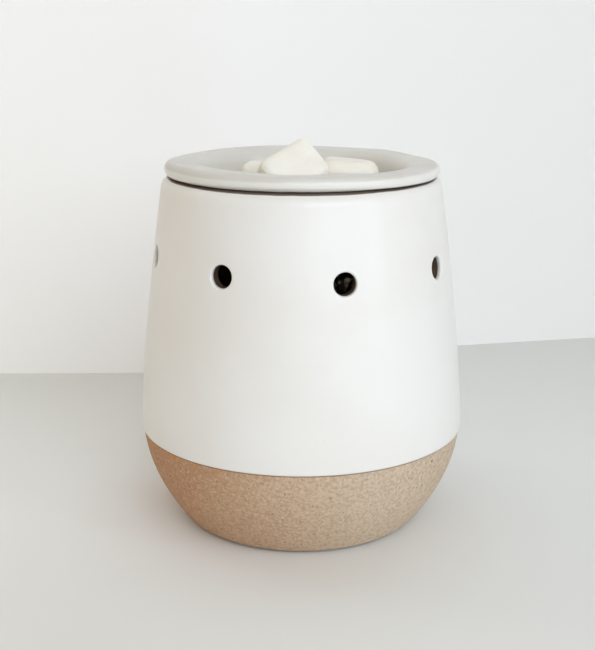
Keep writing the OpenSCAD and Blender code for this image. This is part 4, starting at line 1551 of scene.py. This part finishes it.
@dataclass
class Studio:
    """Floor, wall, lamps, world and camera."""

    effects: Effects
    # Painted shade on the stage: the floor darkens towards the back, the wall darkens to the right and has a
    # painted glow to the left.
    floor: Backdrop = Backdrop("Pale table", "stage", srgb(241, 243, 242), 0.75, srgb(238, 240, 238),
                               srgb(224, 227, 225), (0.35, 1.0), (-0.2, 0.4))
    wall: Backdrop = Backdrop("Pale wall", "stage", srgb(252, 252, 251), 0.9, srgb(250, 250, 248),
                              srgb(228, 227, 225), (1.0, 0.0), (-0.6, 0.6), 0.09)
    room_colour: Colour = (1.0, 0.836, 0.65, 1.0)
    room_strength: float = 0.338
    lamps: tuple[Lamp, ...] = (
        Lamp("window_strip", 53, 0.5, 1.2, (0.3, 1.1), 3.9, (0.78, 0.86, 1.0)),
        Lamp("window_front", 18, 0.9, 1.7, (1.2, 1.2), 17.3, (0.8, 0.9, 1.0)),
        Lamp("room_fill", -22, 0.9, 1.7, (1.2, 1.2), 1.7, (1.0, 0.93, 0.85)),
        Lamp("ceiling", 0, 1.9, 0.3, (1.6, 1.6), 2.3, (0.974, 0.985, 1.0)),
        Lamp("warm_bounce", -100, 0.15, 0.8, (0.8, 0.5), 0.5, (1.0, 0.71, 0.44)),
        Lamp("wall_wash", -112.2, 0.9, 0.776, (0.8, 0.8), 6.0, (1.0, 0.985, 0.96), (-0.6, 2.0, 0.3)))
    wall_line: tuple[Pair, ...] = (
        (-700, 370), (-60, 374.2), (190, 372.5), (250, 369), (310, 361), (370, 352.5), (430, 347), (600, 337),
        (1400, 292))
    floor_gap: float = 0.02
    floor_w: float = 6.0
    bend_reach: float = 700.0
    wall_h: float = 2500.0
    wall_bend: int = 6
    camera_place: Triple = (55.26, -443.51, 196.0)
    camera_pitch: float = 15.16
    camera_azimuth: float = 7.3
    focal: float = 66.02
    sensor: float = 36.0
    clip: Pair = (0.01, 20.0)
    picture: tuple[int, int] = (595, 650)

    def build(self) -> None:
        """Sets the whole stage."""
        self.place_camera()
        self.build_floor()
        self.build_wall()
        self.light()

    def place_camera(self) -> None:
        """Puts the camera where the photograph was taken from."""
        data = bpy.data.cameras.new("studio_camera")
        data.lens = self.focal
        data.sensor_width = self.sensor
        data.clip_start, data.clip_end = self.clip
        camera = bpy.data.objects.new("studio_camera", data)
        bpy.context.scene.collection.objects.link(camera)
        camera.location = Vector(self.camera_place) * MM
        camera.rotation_euler = (math.radians(90 - self.camera_pitch), 0, math.radians(self.camera_azimuth))
        bpy.context.scene.camera = camera

    def build_floor(self) -> None:
        """Lays the table that the warmer stands on."""
        bpy.ops.mesh.primitive_grid_add(x_subdivisions=8, y_subdivisions=8, size=self.floor_w,
                                        location=(0, 0, -self.floor_gap * MM))
        floor = added("table_top")
        floor.data.materials.append(self.floor.material(self.effects))

    def floor_point(self, x: float, y: float) -> Pair:
        """Place on the table that lies at a point of the picture.

        Args:
            x: Pixels from the picture's left edge.
            y: Pixels from its upper edge.

        Returns:
            X and Y on the table, in millimetres.
        """
        far = self.focal / self.sensor * self.picture[1]
        pitch, azimuth = math.radians(self.camera_pitch), math.radians(self.camera_azimuth)
        right, down = (x - self.picture[0] / 2) / far, (y - self.picture[1] / 2) / far
        ahead = math.cos(pitch) - down * math.sin(pitch)
        reach = self.camera_place[2] / (math.sin(pitch) + down * math.cos(pitch))
        return (self.camera_place[0] + reach * (right * math.cos(azimuth) - ahead * math.sin(azimuth)),
                self.camera_place[1] + reach * (right * math.sin(azimuth) + ahead * math.cos(azimuth)))

    def build_wall(self) -> None:
        """Stands the softly bent wall behind the table."""
        wall = chain("back_wall", [(*self.floor_point(x, y), -1) for x, y in self.wall_line])
        with editing(wall):
            pick_all()
            bpy.ops.mesh.extrude_region_move(TRANSFORM_OT_translate={"value": (0, 0, self.wall_h * MM)})
        apply(wall, "SUBSURF", levels=3, render_levels=3, subdivision_type="SIMPLE")
        with editing(wall):
            choose(wall, lambda p: abs(p.x) < self.bend_reach)
            for _ in range(self.wall_bend):
                bpy.ops.mesh.vertices_smooth(factor=0.5, repeat=4, zaxis=False)
        smoothed(wall, 60)
        wall.data.materials.append(self.wall.material(self.effects))

    def hang(self, lamp: Lamp) -> None:
        """Hangs one lamp and turns it to its aim.

        Args:
            lamp: The lamp's place, size and light.
        """
        data = bpy.data.lights.new(lamp.name, "AREA")
        data.shape = "RECTANGLE"
        data.size, data.size_y = lamp.size
        data.energy = lamp.power
        data.color = lamp.colour
        hung = bpy.data.objects.new(lamp.name, data)
        bpy.context.scene.collection.objects.link(hung)
        angle = math.radians(lamp.azimuth + self.camera_azimuth)
        place = Vector((math.sin(angle) * lamp.far, -math.cos(angle) * lamp.far, lamp.height))
        hung.location = place
        hung.rotation_mode = "QUATERNION"
        hung.rotation_quaternion = (Vector(lamp.aim) - place).to_track_quat("-Z", "Y")

    def light(self) -> None:
        """Lights the stage: a warm room, and the lamps."""
        world = bpy.data.worlds.new("studio_world")
        world.use_nodes = True
        sky = world.node_tree.nodes["Background"]
        sky.inputs["Color"].default_value = self.room_colour
        sky.inputs["Strength"].default_value = self.room_strength
        bpy.context.scene.world = world
        for lamp in self.lamps:
            self.hang(lamp)


# ---------------------------------------------------------------- the run


def dress_frame(frame: dict, wardrobe: Wardrobe) -> None:
    """Gives every CAD node the finish of its slot.

    Args:
        wardrobe: The materials.
    """
    slots = {part["node"]: part["material_slot"] for part in frame["record"]["subparts"]}
    for name, node in frame["nodes"].items():
        wardrobe.dress_node(node, slots[name])
        LOG.info("%s: %s", name, slots[name])


def main() -> None:
    """Builds the warmer round the frame, then the stage."""
    logging.basicConfig(level=logging.INFO, format="%(name)s %(message)s")
    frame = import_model()
    bpy.context.scene.view_settings.view_transform = "Standard"
    effects = Effects()
    wardrobe = Wardrobe(effects)
    Studio(effects).build()
    dress_frame(frame, wardrobe)
    shell = Shell(wardrobe)
    for assembly in (shell, Dish(wardrobe), WaxMelts(wardrobe), Outlet(wardrobe, shell)):
        for piece in assembly.build():
            LOG.info("%s: %d faces", piece.name, len(piece.data.polygons))


if __name__ == "__main__":
    main()
